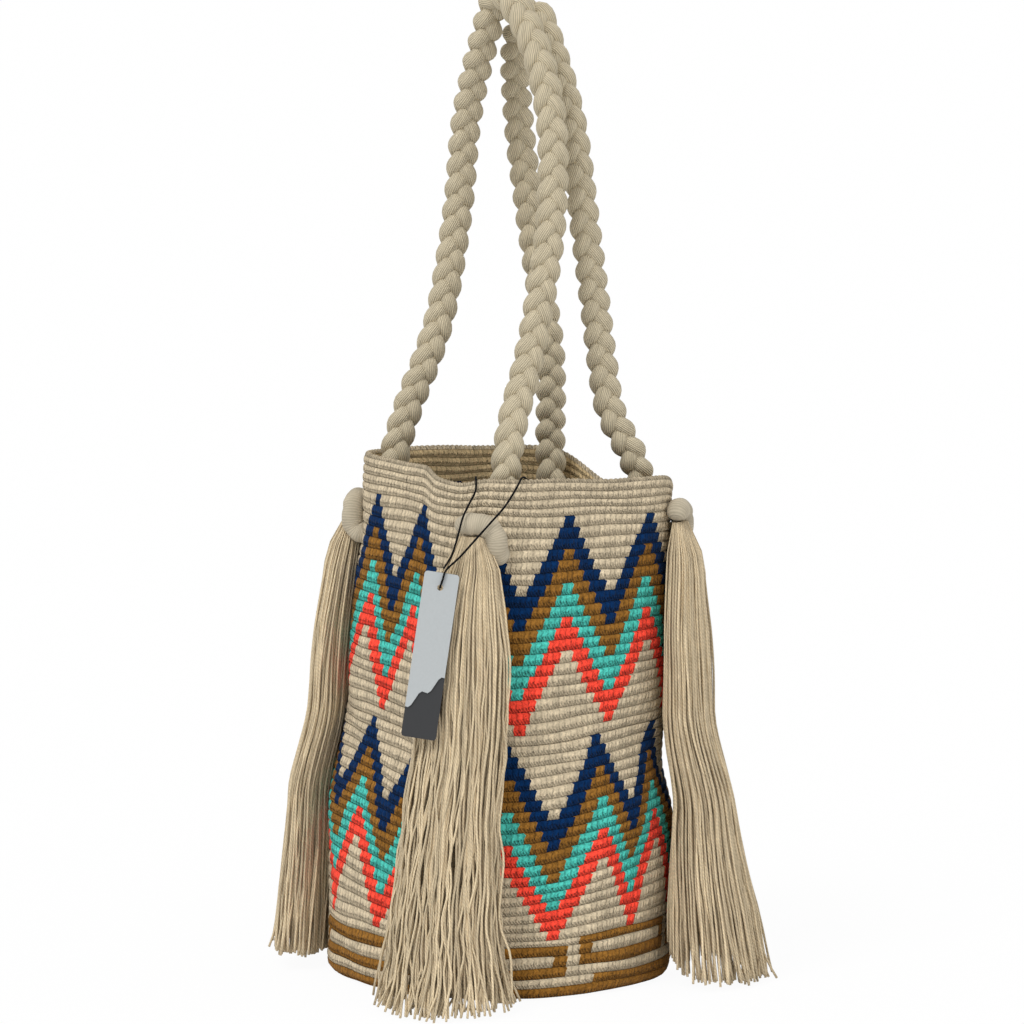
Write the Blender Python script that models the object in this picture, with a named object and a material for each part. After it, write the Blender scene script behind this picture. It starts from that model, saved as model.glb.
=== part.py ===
"""Crocheted bucket tote with two braided handles, four knots with long tassels and a hang tag.

Metres, +Z up. The origin is the centre of the round base, on the surface that the bag stands on.
"""
import math

import bmesh
import bpy
from mathutils import Matrix, Vector

for old in list(bpy.data.objects):
    bpy.data.objects.remove(old)

# Crochet: stitches round the wall, and the courses from the base up with the height of one course
STITCHES_ROUND = 160
REPEAT_STITCHES = 16
ZIGZAG_PHASE = 4
BAND_YARNS = 4
COURSES_PER_YARN = 3
FRET_COURSES, FRET_COURSE = 6, 0.0057
ZIGZAG_COURSES, LOWER_COURSE, UPPER_COURSE = 19, 0.0059, 0.0064
PLAIN_COURSES, PLAIN_COURSE = 1, 0.0058
TOP_COURSES, TOP_COURSE = 4, 0.0047
RIDGE_DEPTH = 0.0011
WALL_THICKNESS = 0.0034

# Wall: mean radius at heights up the wall, and how the fabric leans, squares off, sags and dips at the rim
# (angle round the bag, half width and depth of each dip)
RADIUS_AT_BASE, RADIUS_AT_BELLY, RADIUS_AT_WAIST, RADIUS_AT_RIM = 0.0985, 0.0967, 0.0877, 0.0825
BELLY_HEIGHT, WAIST_HEIGHT = 0.100, 0.160
BASE_EDGE_ROUND = 0.008
BASE_SQUARENESS, RIM_SQUARENESS = 0.02, 0.10
RIM_TILT = 0.0047
LEAN, LEAN_GROWTH = 0.012, 1.6
LEAN_ANGLE = math.radians(56)
COURSE_RISE, RISE_SHARE = 0.0048, 0.24
COURSE_SAG, SAG_SHARE, SAG_FADE = 0.0139, 0.26, 1.6
RIM_DIPS, RIM_DIP_FADE = [(math.radians(297), math.radians(13), 0.0045),
                          (math.radians(86), math.radians(36), 0.0150)], 8
DENT_DEPTH, DENT_HEIGHT, DENT_SPREAD, DENT_ANGLE, DENT_WIDTH = 0.007, 0.122, 0.021, 1.05, 0.45

# Facets of the wall and its holes, and the angle below which an edge is shaded smooth
WALL_SEGMENTS = 24
INNER_RINGS = 8
HOLE_SIDES = 12
SMOOTH_BELOW = math.radians(60)

# Handles: three strands braided flat, all with the flat of the braid turned the same way
STRAND_RADIUS = 0.0032
STRAND_CORE_RADIUS = 0.0020
BRAID_HALF_WIDTH = 0.0065
BRAID_HALF_DEPTH = 0.0054
BRAID_PERIOD = 0.0388
BRAID_STEPS = 6
BRAID_START_PHASE = math.radians(30)
BRAID_TAIL = 0.004
BRAID_FACE = math.radians(76)
STRAND_SIDES = 5
CLEARANCE = 0.0003

# Handle legs: points (x, y, height) from the centre of the rim, from the rim up to the top of the arch
LEFT_LEG = [(-0.0550, -0.0505, 0.009), (-0.0535, -0.0415, 0.038), (-0.0490, -0.0315, 0.066),
            (-0.0495, -0.0205, 0.096), (-0.0500, -0.0095, 0.151), (-0.0425, -0.0080, 0.206),
            (-0.0240, -0.0080, 0.252)]
FRONT_LEG = [(0.0555, -0.0470, 0.009), (0.0535, -0.0405, 0.038), (0.0490, -0.0285, 0.066),
             (0.0495, -0.0213, 0.096), (0.0500, -0.0120, 0.151), (0.0455, -0.0085, 0.206),
             (0.0260, -0.0080, 0.252)]
RIGHT_LEG = [(0.0490, 0.0475, 0.009), (0.0450, 0.0335, 0.038), (0.0420, 0.0295, 0.066),
             (0.0420, 0.0250, 0.096), (0.0420, 0.0165, 0.151), (0.0335, 0.0130, 0.206),
             (0.0130, 0.0118, 0.250)]
REAR_LEG = [(-0.0500, 0.0560, 0.009), (-0.0450, 0.0530, 0.038), (-0.0420, 0.0500, 0.066),
            (-0.0420, 0.0450, 0.096), (-0.0440, 0.0368, 0.151), (-0.0420, 0.0275, 0.206),
            (-0.0240, 0.0145, 0.250)]
FRONT_TOP = (-0.0060, -0.0080, 0.279)
REAR_TOP = (-0.0030, 0.0125, 0.266)

# Knots: the wrapped end of a handle, out through the wall and over in a loop
KNOT_DROP = 0.018
KNOT_TUBE_RADIUS = 0.0063
KNOT_LOOP_RADIUS = 0.0105
KNOT_BEND_RADIUS = 0.0070
KNOT_TAIL_RADIUS = 0.0075
KNOT_TAIL_RUN = 0.0035
KNOT_TAIL_TURN = math.radians(66)
KNOT_STEM = 0.0020
KNOT_SIDE = 0.0065
KNOT_STAND_OFF = 0.0010
HOLE_CLEARANCE = 0.0006

# Tassels: sections (drop below the arch of the knot, shift from its middle, half width, half depth)
TASSEL_SECTIONS = [(0.0007, 0.0, 0.0018, 0.0018), (0.0042, -0.0005, 0.0032, 0.0040),
                   (0.0107, -0.0045, 0.0076, 0.0058), (0.0187, -0.0050, 0.0100, 0.0078),
                   (0.0277, -0.0035, 0.0165, 0.0092), (0.0647, -0.0022, 0.0279, 0.0110),
                   (0.1187, -0.0010, 0.0276, 0.0112), (0.1687, -0.0018, 0.0303, 0.0115),
                   (0.2237, -0.0027, 0.0352, 0.0122)]
TASSEL_FOOT = (-0.0005, 0.0425, 0.0118)
TASSEL_WALL_GAP = 0.0018
TASSEL_FOLDS = 8
TASSEL_FOLD_DEPTH = 0.12

# The four corners: name, angle round the bag, which way the knot turns,
# how far the tassel fans out towards its foot, and the foot's height above the floor
CORNERS = [
    ("left", math.radians(225), 1, 0.3, 0.0075),
    ("front", math.radians(315), 1, 0.9, 0.0015),
    ("right", math.radians(45), 1, 1.5, 0.0015),
    ("rear", math.radians(135), -1, 0.4, 0.0030),
]

# Hang tag: two leaves, the hole, and where the hole lies from the front corner of the wall
TAG_WIDTH, TAG_LENGTH, TAG_THICKNESS = 0.0200, 0.0950, 0.0006
TAG_CORNER = 0.0018
TAG_HOLE_RADIUS = 0.0018
TAG_HOLE_INSET = 0.0085
TAG_FRONT_SHORT, TAG_FRONT_LONG = 0.0590, 0.0780
TAG_WAVES, TAG_WAVE_DEPTH = 2, 0.0022
TAG_SIDE, TAG_DROP, TAG_STAND = -0.0192, 0.0335, 0.0275
TAG_TURN, TAG_TILT, TAG_PITCH = math.radians(50), math.radians(8), math.radians(4)

# Tag string: radius, and points (side, height from the top of the knot, distance from the wall)
STRING_RADIUS = 0.0006
STRING_SPACING = 0.0036
STRING_AT_TAG = [(0.0, 0.0, -0.0030), (0.0, 0.0004, 0.0010), (0.0010, 0.0050, 0.0019), (0.0021, 0.0105, 0.0013)]
STRING_END = (0.0005, 0.0112, 0.0016)
STRING_POINTS = [(-0.0110, -0.0165, 0.0225), (-0.0030, -0.0070, 0.0172), (0.0045, 0.0018, 0.0132),
                 (0.0119, 0.0110, 0.0072), (0.0172, 0.0203, 0.0020), (0.0197, 0.0262, -0.0038),
                 (0.0213, 0.0238, -0.0115), (0.0213, 0.0198, -0.0210), (0.0085, 0.0185, -0.0325),
                 (-0.0065, 0.0195, -0.0230), (-0.0080, 0.0232, -0.0105), (-0.0070, 0.0258, -0.0030),
                 (-0.0060, 0.0190, 0.0028), (-0.0088, 0.0117, 0.0082), (-0.0112, 0.0045, 0.0142),
                 (-0.0133, -0.0064, 0.0192), (-0.0160, -0.0160, 0.0225)]

BEIGE = (0.56, 0.49, 0.36)
NAVY = (0.008, 0.045, 0.15)
TAN = (0.25, 0.12, 0.026)
TURQUOISE = (0.06, 0.50, 0.41)
CORAL = (0.86, 0.065, 0.045)
HANDLE_YARN = (0.56, 0.49, 0.35)
TASSEL_YARN = (0.60, 0.52, 0.36)
CARD_GREY = (0.55, 0.58, 0.59)
CARD_BLACK = (0.020, 0.021, 0.023)
STRING_BLACK = (0.008, 0.008, 0.009)

COURSE_GROUPS = [
    (FRET_COURSES, FRET_COURSE),
    (ZIGZAG_COURSES, LOWER_COURSE),
    (PLAIN_COURSES, PLAIN_COURSE),
    (ZIGZAG_COURSES, UPPER_COURSE),
    (TOP_COURSES, TOP_COURSE),
]
COURSE_EDGES = [0.0]
for count, height in COURSE_GROUPS:
    for _ in range(count):
        COURSE_EDGES.append(COURSE_EDGES[-1] + height)
WALL_HEIGHT = COURSE_EDGES[-1]
KNOT_HEIGHT = WALL_HEIGHT - KNOT_DROP
LEAN_DIRECTION = Vector((math.cos(LEAN_ANGLE), math.sin(LEAN_ANGLE), 0.0))
QUARTER = math.pi / 2


def smooth_step(x):
    """Rise from 0 to 1 as x goes from 0 to 1, level at both ends."""
    x = min(max(x, 0.0), 1.0)
    return x * x * (3 - 2 * x)


def axis_point(height):
    """Centre of the wall at a height: the soft bag leans a little."""
    return LEAN_DIRECTION * (LEAN * max(height / WALL_HEIGHT, 0.0) ** LEAN_GROWTH)


def plain_radius(angle, height):
    """Distance of the wall's outer face from its centre: round below, a rounded square at the rim."""
    if height < BELLY_HEIGHT:
        rise = smooth_step(height / BELLY_HEIGHT)
        radius = RADIUS_AT_BASE + (RADIUS_AT_BELLY - RADIUS_AT_BASE) * rise
    elif height < WAIST_HEIGHT:
        rise = smooth_step((height - BELLY_HEIGHT) / (WAIST_HEIGHT - BELLY_HEIGHT))
        radius = RADIUS_AT_BELLY + (RADIUS_AT_WAIST - RADIUS_AT_BELLY) * rise
    else:
        rise = smooth_step((height - WAIST_HEIGHT) / (WALL_HEIGHT - WAIST_HEIGHT))
        radius = RADIUS_AT_WAIST + (RADIUS_AT_RIM - RADIUS_AT_WAIST) * rise
    square = BASE_SQUARENESS + (RIM_SQUARENESS - BASE_SQUARENESS) * height / WALL_HEIGHT
    return radius * (1 + square * math.cos(4 * (angle - QUARTER / 2)))


def wall_radius(angle, height):
    """The same distance with the dent in the wall's right side."""
    turn = math.remainder(angle - DENT_ANGLE, 2 * math.pi) / DENT_WIDTH
    lift = (height - DENT_HEIGHT) / DENT_SPREAD
    return plain_radius(angle, height) - DENT_DEPTH * math.exp(-turn * turn - lift * lift)


def course_height(angle, level):
    """True height at a level of the flat course chart.

    Above the foot all courses rise a little. They sag on two opposite sides of the belly, the rim tilts,
    and it dips beside the front handle and between the two handles on the far side.
    """
    share = min(level / WALL_HEIGHT, 1.0)
    rise = COURSE_RISE * smooth_step(share / RISE_SHARE)
    sag = COURSE_SAG * smooth_step(share / SAG_SHARE) ** 2 * (1 - share) ** SAG_FADE
    tilt = RIM_TILT * share ** 2 * math.cos(angle - LEAN_ANGLE)
    dip = 0.0
    for place, width, depth in RIM_DIPS:
        dip += depth * math.exp(-(math.remainder(angle - place, 2 * math.pi) / width) ** 4)
    return level + rise + sag * math.cos(2 * (angle - LEAN_ANGLE)) - tilt - dip * share ** RIM_DIP_FADE


def wall_point(angle, level, offset=0.0):
    """Point on the wall's outer face, moved outwards by offset."""
    height = course_height(angle, level)
    radius = wall_radius(angle, height) + offset
    centre = axis_point(height)
    return Vector((centre.x + radius * math.cos(angle), centre.y + radius * math.sin(angle), height))


def corner_frame(angle, height):
    """Point on the undented wall, tangent and outward normal at or near one of the bag's four corners."""
    normal = Vector((math.cos(angle), math.sin(angle), 0.0))
    tangent = Vector((-math.sin(angle), math.cos(angle), 0.0))
    return axis_point(height) + normal * plain_radius(angle, height) + Vector((0, 0, height)), tangent, normal


def corner_fall(reach):
    """Most that the wall falls back from a corner at this distance to the knot's side."""
    falls = []
    for _, angle, side, _, _ in CORNERS:
        radius = plain_radius(angle, KNOT_HEIGHT)
        turn = side * reach / radius
        falls.append(radius - plain_radius(angle + turn, KNOT_HEIGHT) * math.cos(turn))
    return max(falls)


def spline_points(knots, steps=12):
    """Points on a smooth curve through the given points."""
    points = []
    for i in range(len(knots) - 1):
        p1, p2 = knots[i], knots[i + 1]
        p0 = knots[i - 1] if i else p1 * 2 - p2
        p3 = knots[i + 2] if i + 2 < len(knots) else p2 * 2 - p1
        for step in range(steps):
            t = step / steps
            points.append(0.5 * (p1 * 2 + (p2 - p0) * t + (p0 * 2 - p1 * 5 + p2 * 4 - p3) * t ** 2
                                 + (p1 * 3 - p0 - p2 * 3 + p3) * t ** 3))
    return points + [knots[-1].copy()]


def resample(points, spacing):
    """Points at even steps of about the given spacing along a polyline."""
    lengths = [0.0]
    for a, b in zip(points, points[1:]):
        lengths.append(lengths[-1] + (b - a).length)
    count = max(2, round(lengths[-1] / spacing))
    even, i = [], 0
    for n in range(count + 1):
        along = lengths[-1] * n / count
        while i < len(points) - 2 and lengths[i + 1] < along:
            i += 1
        span = lengths[i + 1] - lengths[i]
        even.append(points[i].lerp(points[i + 1], (along - lengths[i]) / span))
    return even


def make_material(name, colour, roughness):
    """Plain Principled material."""
    material = bpy.data.materials.new(name)
    material.use_nodes = True
    shader = material.node_tree.nodes["Principled BSDF"]
    shader.inputs["Base Color"].default_value = (*colour, 1.0)
    shader.inputs["Roughness"].default_value = roughness
    shader.inputs["Metallic"].default_value = 0.0
    material.diffuse_color = (*colour, 1.0)
    return material


def add_object(name, data, material, collection):
    """Object in a collection, with its one material."""
    obj = bpy.data.objects.new(name, data)
    collection.objects.link(obj)
    if material:
        data.materials.append(material)
    return obj


def shade(mesh):
    """Smooth shading with the sharp edges kept."""
    mesh.shade_smooth()
    mesh.set_sharp_from_angle(angle=SMOOTH_BELOW)


tote = bpy.data.collections.new("crocheted_bucket_tote")
cutters = bpy.data.collections.new("cutters")
bpy.context.scene.collection.children.link(tote)
bpy.context.scene.collection.children.link(cutters)


def loft(name, rings):
    """Mesh through rings of as many points, with a fan of faces over each end."""
    bm = bmesh.new()
    rows = [[bm.verts.new(point) for point in ring] for ring in rings]
    for low, high in zip(rows, rows[1:]):
        for i in range(len(low)):
            j = (i + 1) % len(low)
            bm.faces.new((low[i], low[j], high[j], high[i]))
    for row, flip in ((rows[0], True), (rows[-1], False)):
        middle = bm.verts.new(sum((vert.co for vert in row), Vector()) / len(row))
        for i in range(len(row)):
            j = (i + 1) % len(row)
            bm.faces.new((row[j], row[i], middle) if flip else (row[i], row[j], middle))
    bmesh.ops.recalc_face_normals(bm, faces=bm.faces)
    mesh = bpy.data.meshes.new(name)
    bm.to_mesh(mesh)
    bm.free()
    return mesh


def wall_ring(level, offset):
    """Ring of points round the wall at one level."""
    turns = (2 * math.pi * i / WALL_SEGMENTS for i in range(WALL_SEGMENTS))
    return [wall_point(angle, level, offset) for angle in turns]


def body_mesh():
    """Closed shell: outer face with a ridge for each three courses, rim, inner face and a flat base."""
    rings = [wall_ring(0.0, -BASE_EDGE_ROUND)]
    steps = 2 * round((len(COURSE_EDGES) - 1) / COURSES_PER_YARN)
    for i in range(1, steps + 1):
        rings.append(wall_ring(WALL_HEIGHT * i / steps, RIDGE_DEPTH / 2 if i % 2 else -RIDGE_DEPTH / 2))
    for i in range(INNER_RINGS + 1):
        level = WALL_HEIGHT + (WALL_THICKNESS - WALL_HEIGHT) * i / INNER_RINGS
        rings.append(wall_ring(level, -WALL_THICKNESS))
    return loft("crochet_body", rings)


def math_node(tree, operation, first, second=0.0):
    """Math node fed by two sockets or numbers."""
    node = tree.nodes.new("ShaderNodeMath")
    node.operation = operation
    for socket, value in zip(node.inputs, (first, second)):
        if isinstance(value, (int, float)):
            socket.default_value = value
        else:
            tree.links.new(value, socket)
    return node.outputs[0]


def zigzag_mix(tree, below, stitch, height, top, course, phase):
    """Lay one band of zigzags over a colour: each yarn is three courses thick, stepped stitch by stitch."""
    down = math_node(tree, "FLOOR", math_node(tree, "DIVIDE", math_node(tree, "SUBTRACT", top, height), course))
    swing = math_node(tree, "PINGPONG", math_node(tree, "ADD", stitch, phase), REPEAT_STITCHES / 2)
    depth = math_node(tree, "SUBTRACT", down, math_node(tree, "FLOOR", swing))
    share = math_node(tree, "DIVIDE", math_node(tree, "ADD", depth, 0.5), BAND_YARNS * COURSES_PER_YARN)
    ramp = tree.nodes.new("ShaderNodeValToRGB")
    ramp.color_ramp.interpolation = "CONSTANT"
    tree.links.new(share, ramp.inputs[0])
    yarns = (NAVY, TAN, TURQUOISE, CORAL)
    stops = ramp.color_ramp.elements
    while len(stops) < len(yarns):
        stops.new(1.0)
    for i, yarn in enumerate(yarns):
        stops[i].position = i / len(yarns)
        stops[i].color = (*yarn, 1.0)
    inside = math_node(tree, "MULTIPLY", math_node(tree, "GREATER_THAN", share, 0.0),
                       math_node(tree, "LESS_THAN", share, 1.0))
    mix = tree.nodes.new("ShaderNodeMix")
    mix.data_type = "RGBA"
    tree.links.new(inside, mix.inputs[0])
    tree.links.new(below, mix.inputs[6])
    tree.links.new(ramp.outputs[0], mix.inputs[7])
    return mix.outputs[2]


def crochet_material():
    """Beige yarn with two bands of zigzags and tan stripes at the foot, worked out from the stitch grid."""
    material = make_material("crochet", BEIGE, 0.9)
    tree = material.node_tree
    place = tree.nodes.new("ShaderNodeTexCoord")
    axes = tree.nodes.new("ShaderNodeSeparateXYZ")
    tree.links.new(place.outputs["Object"], axes.inputs[0])
    angle = math_node(tree, "ARCTAN2", axes.outputs[1], axes.outputs[0])
    stitch = math_node(tree, "MULTIPLY", angle, STITCHES_ROUND / (2 * math.pi))
    height = axes.outputs[2]
    stripe = math_node(tree, "PINGPONG", math_node(tree, "DIVIDE", height, 2 * FRET_COURSE), 0.5)
    foot = math_node(tree, "MULTIPLY", math_node(tree, "LESS_THAN", height, COURSE_EDGES[FRET_COURSES]),
                     math_node(tree, "LESS_THAN", stripe, 0.25))
    mix = tree.nodes.new("ShaderNodeMix")
    mix.data_type = "RGBA"
    tree.links.new(foot, mix.inputs[0])
    mix.inputs[6].default_value = (*BEIGE, 1.0)
    mix.inputs[7].default_value = (*TAN, 1.0)
    lower_top = FRET_COURSES + ZIGZAG_COURSES
    upper_top = lower_top + PLAIN_COURSES + ZIGZAG_COURSES
    colour = zigzag_mix(tree, mix.outputs[2], stitch, height, COURSE_EDGES[lower_top], LOWER_COURSE,
                        ZIGZAG_PHASE + REPEAT_STITCHES / 2)
    colour = zigzag_mix(tree, colour, stitch, height, COURSE_EDGES[upper_top], UPPER_COURSE, ZIGZAG_PHASE)
    tree.links.new(colour, tree.nodes["Principled BSDF"].inputs["Base Color"])
    return material


def handle_roots():
    """Inner end of each handle leg, just inside the wall at its knot."""
    roots = {}
    for name, angle, side, _, _ in CORNERS:
        point, tangent, normal = corner_frame(angle, KNOT_HEIGHT)
        roots[name] = point + tangent * side * KNOT_SIDE - normal * LEG_INSET
    return roots


def leg_points(root, leg):
    """Hand-chosen points of one leg, from its root inside the wall up to the arch."""
    rim = axis_point(WALL_HEIGHT) + Vector((0, 0, WALL_HEIGHT))
    foot = root - Vector((0, 0, STRAND_FOOT_DROP))
    return [foot, root] + [rim + Vector(point) for point in leg]


def handle_line(root_a, leg_a, top, leg_b, root_b):
    """Centre line of a handle from one root over the arch to the other, at even steps."""
    rim = axis_point(WALL_HEIGHT) + Vector((0, 0, WALL_HEIGHT))
    knots = leg_points(root_a, leg_a) + [rim + Vector(top)] + leg_points(root_b, leg_b)[::-1]
    return resample(spline_points(knots), BRAID_PERIOD / BRAID_STEPS)


def strand_points(line, phase):
    """One strand of the braid round a handle's centre line, with a short upright tail at both ends.

    The yarn is pressed thin where it crosses the middle and swells at the edges of the braid.
    """
    points, radii = [], []
    for i, centre in enumerate(line):
        along = (line[min(i + 1, len(line) - 1)] - line[max(i - 1, 0)]).normalized()
        wide = Vector((math.cos(BRAID_FACE), math.sin(BRAID_FACE), 0.0))
        wide = (wide - along * wide.dot(along)).normalized()
        deep = along.cross(wide)
        turn = 2 * math.pi * i / BRAID_STEPS + phase
        points.append(centre + wide * BRAID_HALF_WIDTH * math.sin(turn)
                      + deep * BRAID_HALF_DEPTH * math.sin(2 * turn))
        radii.append(STRAND_CORE_RADIUS + (STRAND_RADIUS - STRAND_CORE_RADIUS) * math.sin(turn) ** 2)
    first, last = points[0].copy(), points[-1].copy()
    first.z, last.z = line[0].z - BRAID_TAIL, line[-1].z - BRAID_TAIL
    return [first] + points + [last], [radii[0]] + radii + [radii[-1]]


def polyline(name, points):
    """Open 3D curve with straight runs between its points and filled ends."""
    curve = bpy.data.curves.new(name, "CURVE")
    curve.dimensions = "3D"
    curve.use_fill_caps = True
    spline = curve.splines.new("POLY")
    spline.points.add(len(points) - 1)
    for slot, point in zip(spline.points, points):
        slot.co = (*point, 1.0)
    return curve


def add_tube(name, points, radius, resolution, material):
    """Round tube along a polyline."""
    curve = polyline(name, points)
    curve.bevel_depth = radius
    curve.bevel_resolution = resolution
    return add_object(name, curve, material, tote)


def add_strand(name, line, phase, profile, material):
    """One strand of a braid, its section scaled along its length."""
    points, radii = strand_points(line, phase)
    curve = polyline(name, points)
    curve.bevel_mode = "OBJECT"
    curve.bevel_object = profile
    for slot, radius in zip(curve.splines[0].points, radii):
        slot.radius = radius / STRAND_RADIUS
    return add_object(name, curve, material, tote)


def strand_profile():
    """Cross-section of a strand, a guide that the strands follow."""
    curve = bpy.data.curves.new("strand_profile", "CURVE")
    spline = curve.splines.new("POLY")
    spline.points.add(STRAND_SIDES - 1)
    for i, slot in enumerate(spline.points):
        turn = -2 * math.pi * i / STRAND_SIDES
        slot.co = (STRAND_RADIUS * math.cos(turn), STRAND_RADIUS * math.sin(turn), 0.0, 1.0)
    spline.use_cyclic_u = True
    guide = add_object("strand_profile", curve, None, cutters)
    guide.hide_render = True
    guide.display_type = "WIRE"
    return guide


def arc(centre, first, second, start, stop, steps):
    """Points on an arc from angle start to stop, in the plane of the vectors first and second."""
    turns = (start + (stop - start) * i / steps for i in range(steps + 1))
    return [centre + first * math.cos(turn) + second * math.sin(turn) for turn in turns]


def knot_points(angle, side):
    """Centre line of a knot: down inside the wall, out through its hole, up and over, and down again."""
    point, tangent, normal = corner_frame(angle, KNOT_HEIGHT)
    across, up = tangent * side, Vector((0, 0, 1))
    out = normal * (KNOT_TUBE_RADIUS + KNOT_STAND_OFF)
    bend, loop = KNOT_BEND_RADIUS, KNOT_LOOP_RADIUS
    bend_level = point + across * KNOT_SIDE - up * loop
    inner = bend_level - normal * (LEG_INSET - bend)
    outer = bend_level + out - normal * bend
    loop_centre = bend_level + out - across * loop
    tail_centre = loop_centre - across * KNOT_TAIL_RUN + up * (loop - KNOT_TAIL_RADIUS)
    points = [inner - normal * bend + up * KNOT_STEM]
    points += arc(inner, -normal * bend, -up * bend, 0, QUARTER, 2)
    points += arc(outer, -up * bend, normal * bend, 0, QUARTER, 3)
    points += arc(loop_centre, across * loop, up * loop, 0, QUARTER, 4)[1:]
    points += arc(tail_centre, up * KNOT_TAIL_RADIUS, -across * KNOT_TAIL_RADIUS, 0, KNOT_TAIL_TURN, 3)
    return points


def cut_hole(body, name, angle, side):
    """Hole through the wall for one knot."""
    point, tangent, normal = corner_frame(angle, KNOT_HEIGHT)
    centre = point + tangent * side * KNOT_SIDE
    centre -= Vector((0, 0, KNOT_LOOP_RADIUS + KNOT_BEND_RADIUS))
    bm = bmesh.new()
    radius = KNOT_TUBE_RADIUS + HOLE_CLEARANCE
    bmesh.ops.create_cone(bm, cap_ends=True, segments=HOLE_SIDES, radius1=radius, radius2=radius,
                          depth=2 * LEG_INSET)
    mesh = bpy.data.meshes.new("hole_" + name)
    bm.to_mesh(mesh)
    bm.free()
    cutter = add_object("hole_" + name, mesh, None, cutters)
    cutter.matrix_world = Matrix.Translation(centre) @ normal.to_track_quat("Z", "Y").to_matrix().to_4x4()
    cutter.hide_render = True
    cutter.display_type = "WIRE"
    cut = body.modifiers.new("hole_" + name, "BOOLEAN")
    cut.operation = "DIFFERENCE"
    cut.solver = "EXACT"
    cut.object = cutter


def tassel_mesh(name, angle, side, fan, floor_gap):
    """Gathered bundle of yarn that widens from the arch of its knot to just above the floor."""
    arch_height = KNOT_HEIGHT - KNOT_TUBE_RADIUS
    foot_drop = arch_height - floor_gap
    sections = TASSEL_SECTIONS + [(foot_drop, *TASSEL_FOOT)]
    rings = []
    for drop, shift, half_width, half_depth in sections:
        height = arch_height - drop
        half_depth *= 1 + fan * (drop / foot_drop) ** 2
        shift += KNOT_SIDE - KNOT_LOOP_RADIUS
        point, tangent, normal = corner_frame(angle + side * shift / plain_radius(angle, height), height)
        out = TASSEL_WALL_GAP + half_depth * (1 + TASSEL_FOLD_DEPTH / 2)
        centre = point + normal * max(out, KNOT_STAND_OFF + KNOT_TUBE_RADIUS)
        ring = []
        for i in range(2 * TASSEL_FOLDS):
            turn = math.pi * i / TASSEL_FOLDS
            swell = 1 + TASSEL_FOLD_DEPTH * (0.5 if i % 2 else -0.5)
            ring.append(centre + tangent * half_width * swell * math.cos(turn)
                        + normal * half_depth * swell * math.sin(turn))
        rings.append(ring)
    return loft(name, rings)


def tag_matrix():
    """Place of the tag: its hole at the origin, X along its width, Y up it, Z out of its face."""
    point, tangent, normal = corner_frame(FRONT_ANGLE, KNOT_HEIGHT - TAG_DROP)
    hole = point + tangent * TAG_SIDE + normal * TAG_STAND
    turn = Matrix.Rotation(TAG_TURN, 4, "Z") @ Matrix.Rotation(QUARTER - TAG_PITCH, 4, "X")
    return Matrix.Translation(hole) @ turn @ Matrix.Rotation(-TAG_TILT, 4, "Z")


def add_card(name, outline, depth, material):
    """One leaf of the tag: a flat outline with a round hole, its front face at the given depth."""
    curve = bpy.data.curves.new(name, "CURVE")
    curve.dimensions = "2D"
    curve.fill_mode = "BOTH"
    curve.extrude = TAG_THICKNESS / 2
    hole = [(TAG_HOLE_RADIUS * math.cos(QUARTER * i / 2), TAG_HOLE_RADIUS * math.sin(QUARTER * i / 2))
            for i in range(8)]
    for loop in (outline, hole):
        spline = curve.splines.new("POLY")
        spline.points.add(len(loop) - 1)
        spline.use_cyclic_u = True
        for slot, (x, y) in zip(spline.points, loop):
            slot.co = (x, y, 0.0, 1.0)
    card = add_object(name, curve, material, tote)
    card.matrix_world = tag_matrix() @ Matrix.Translation((0, 0, depth - TAG_THICKNESS / 2))
    return card


def round_corner(x, y, start):
    """Points round one corner of a card, counter-clockwise, about the arc centre x, y."""
    return [(x + TAG_CORNER * math.cos(start + QUARTER * i / 3), y + TAG_CORNER * math.sin(start + QUARTER * i / 3))
            for i in range(4)]


def back_card_outline():
    """Plain strip with four round corners."""
    top, half = TAG_HOLE_INSET, TAG_WIDTH / 2
    x, high, low = half - TAG_CORNER, top - TAG_CORNER, top - TAG_LENGTH + TAG_CORNER
    return (round_corner(x, high, 0.0) + round_corner(-x, high, QUARTER)
            + round_corner(-x, low, 2 * QUARTER) + round_corner(x, low, 3 * QUARTER))


def front_card_outline():
    """Strip with two round corners above and a foot that steps down in a wave."""
    top, half = TAG_HOLE_INSET, TAG_WIDTH / 2
    x, high = half - TAG_CORNER, top - TAG_CORNER
    short, long = top - TAG_FRONT_SHORT, top - TAG_FRONT_LONG
    wave, steps = [], 6 * TAG_WAVES
    for i in range(steps + 1):
        share = i / steps
        level = long + (short - long) * share - TAG_WAVE_DEPTH * math.sin(2 * math.pi * TAG_WAVES * share)
        wave.append((-half + TAG_WIDTH * share, level))
    return round_corner(x, high, 0.0) + round_corner(-x, high, QUARTER) + wave


def string_route():
    """Tag string: through the tag's hole, over the rim, round the front handle's leg and back to the tag."""
    point, tangent, normal = corner_frame(FRONT_ANGLE, KNOT_HEIGHT)
    tag = tag_matrix()
    knots = [tag @ Vector(place) for place in STRING_AT_TAG]
    for side, height, out in STRING_POINTS:
        knots.append(point + tangent * side + Vector((0, 0, height)) + normal * out)
    knots.append(tag @ Vector(STRING_END))
    return resample(spline_points(knots), STRING_SPACING)


FRONT_ANGLE = CORNERS[1][1]
BRAID_REACH = math.hypot(BRAID_HALF_WIDTH, BRAID_HALF_DEPTH) + STRAND_RADIUS
LEG_INSET = WALL_THICKNESS + CLEARANCE + BRAID_REACH + corner_fall(KNOT_SIDE)
STRAND_FOOT_DROP = KNOT_LOOP_RADIUS - KNOT_STEM - CLEARANCE - BRAID_TAIL

handle_yarn = make_material("handle_yarn", HANDLE_YARN, 0.85)
tassel_yarn = make_material("tassel_yarn", TASSEL_YARN, 0.85)

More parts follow.
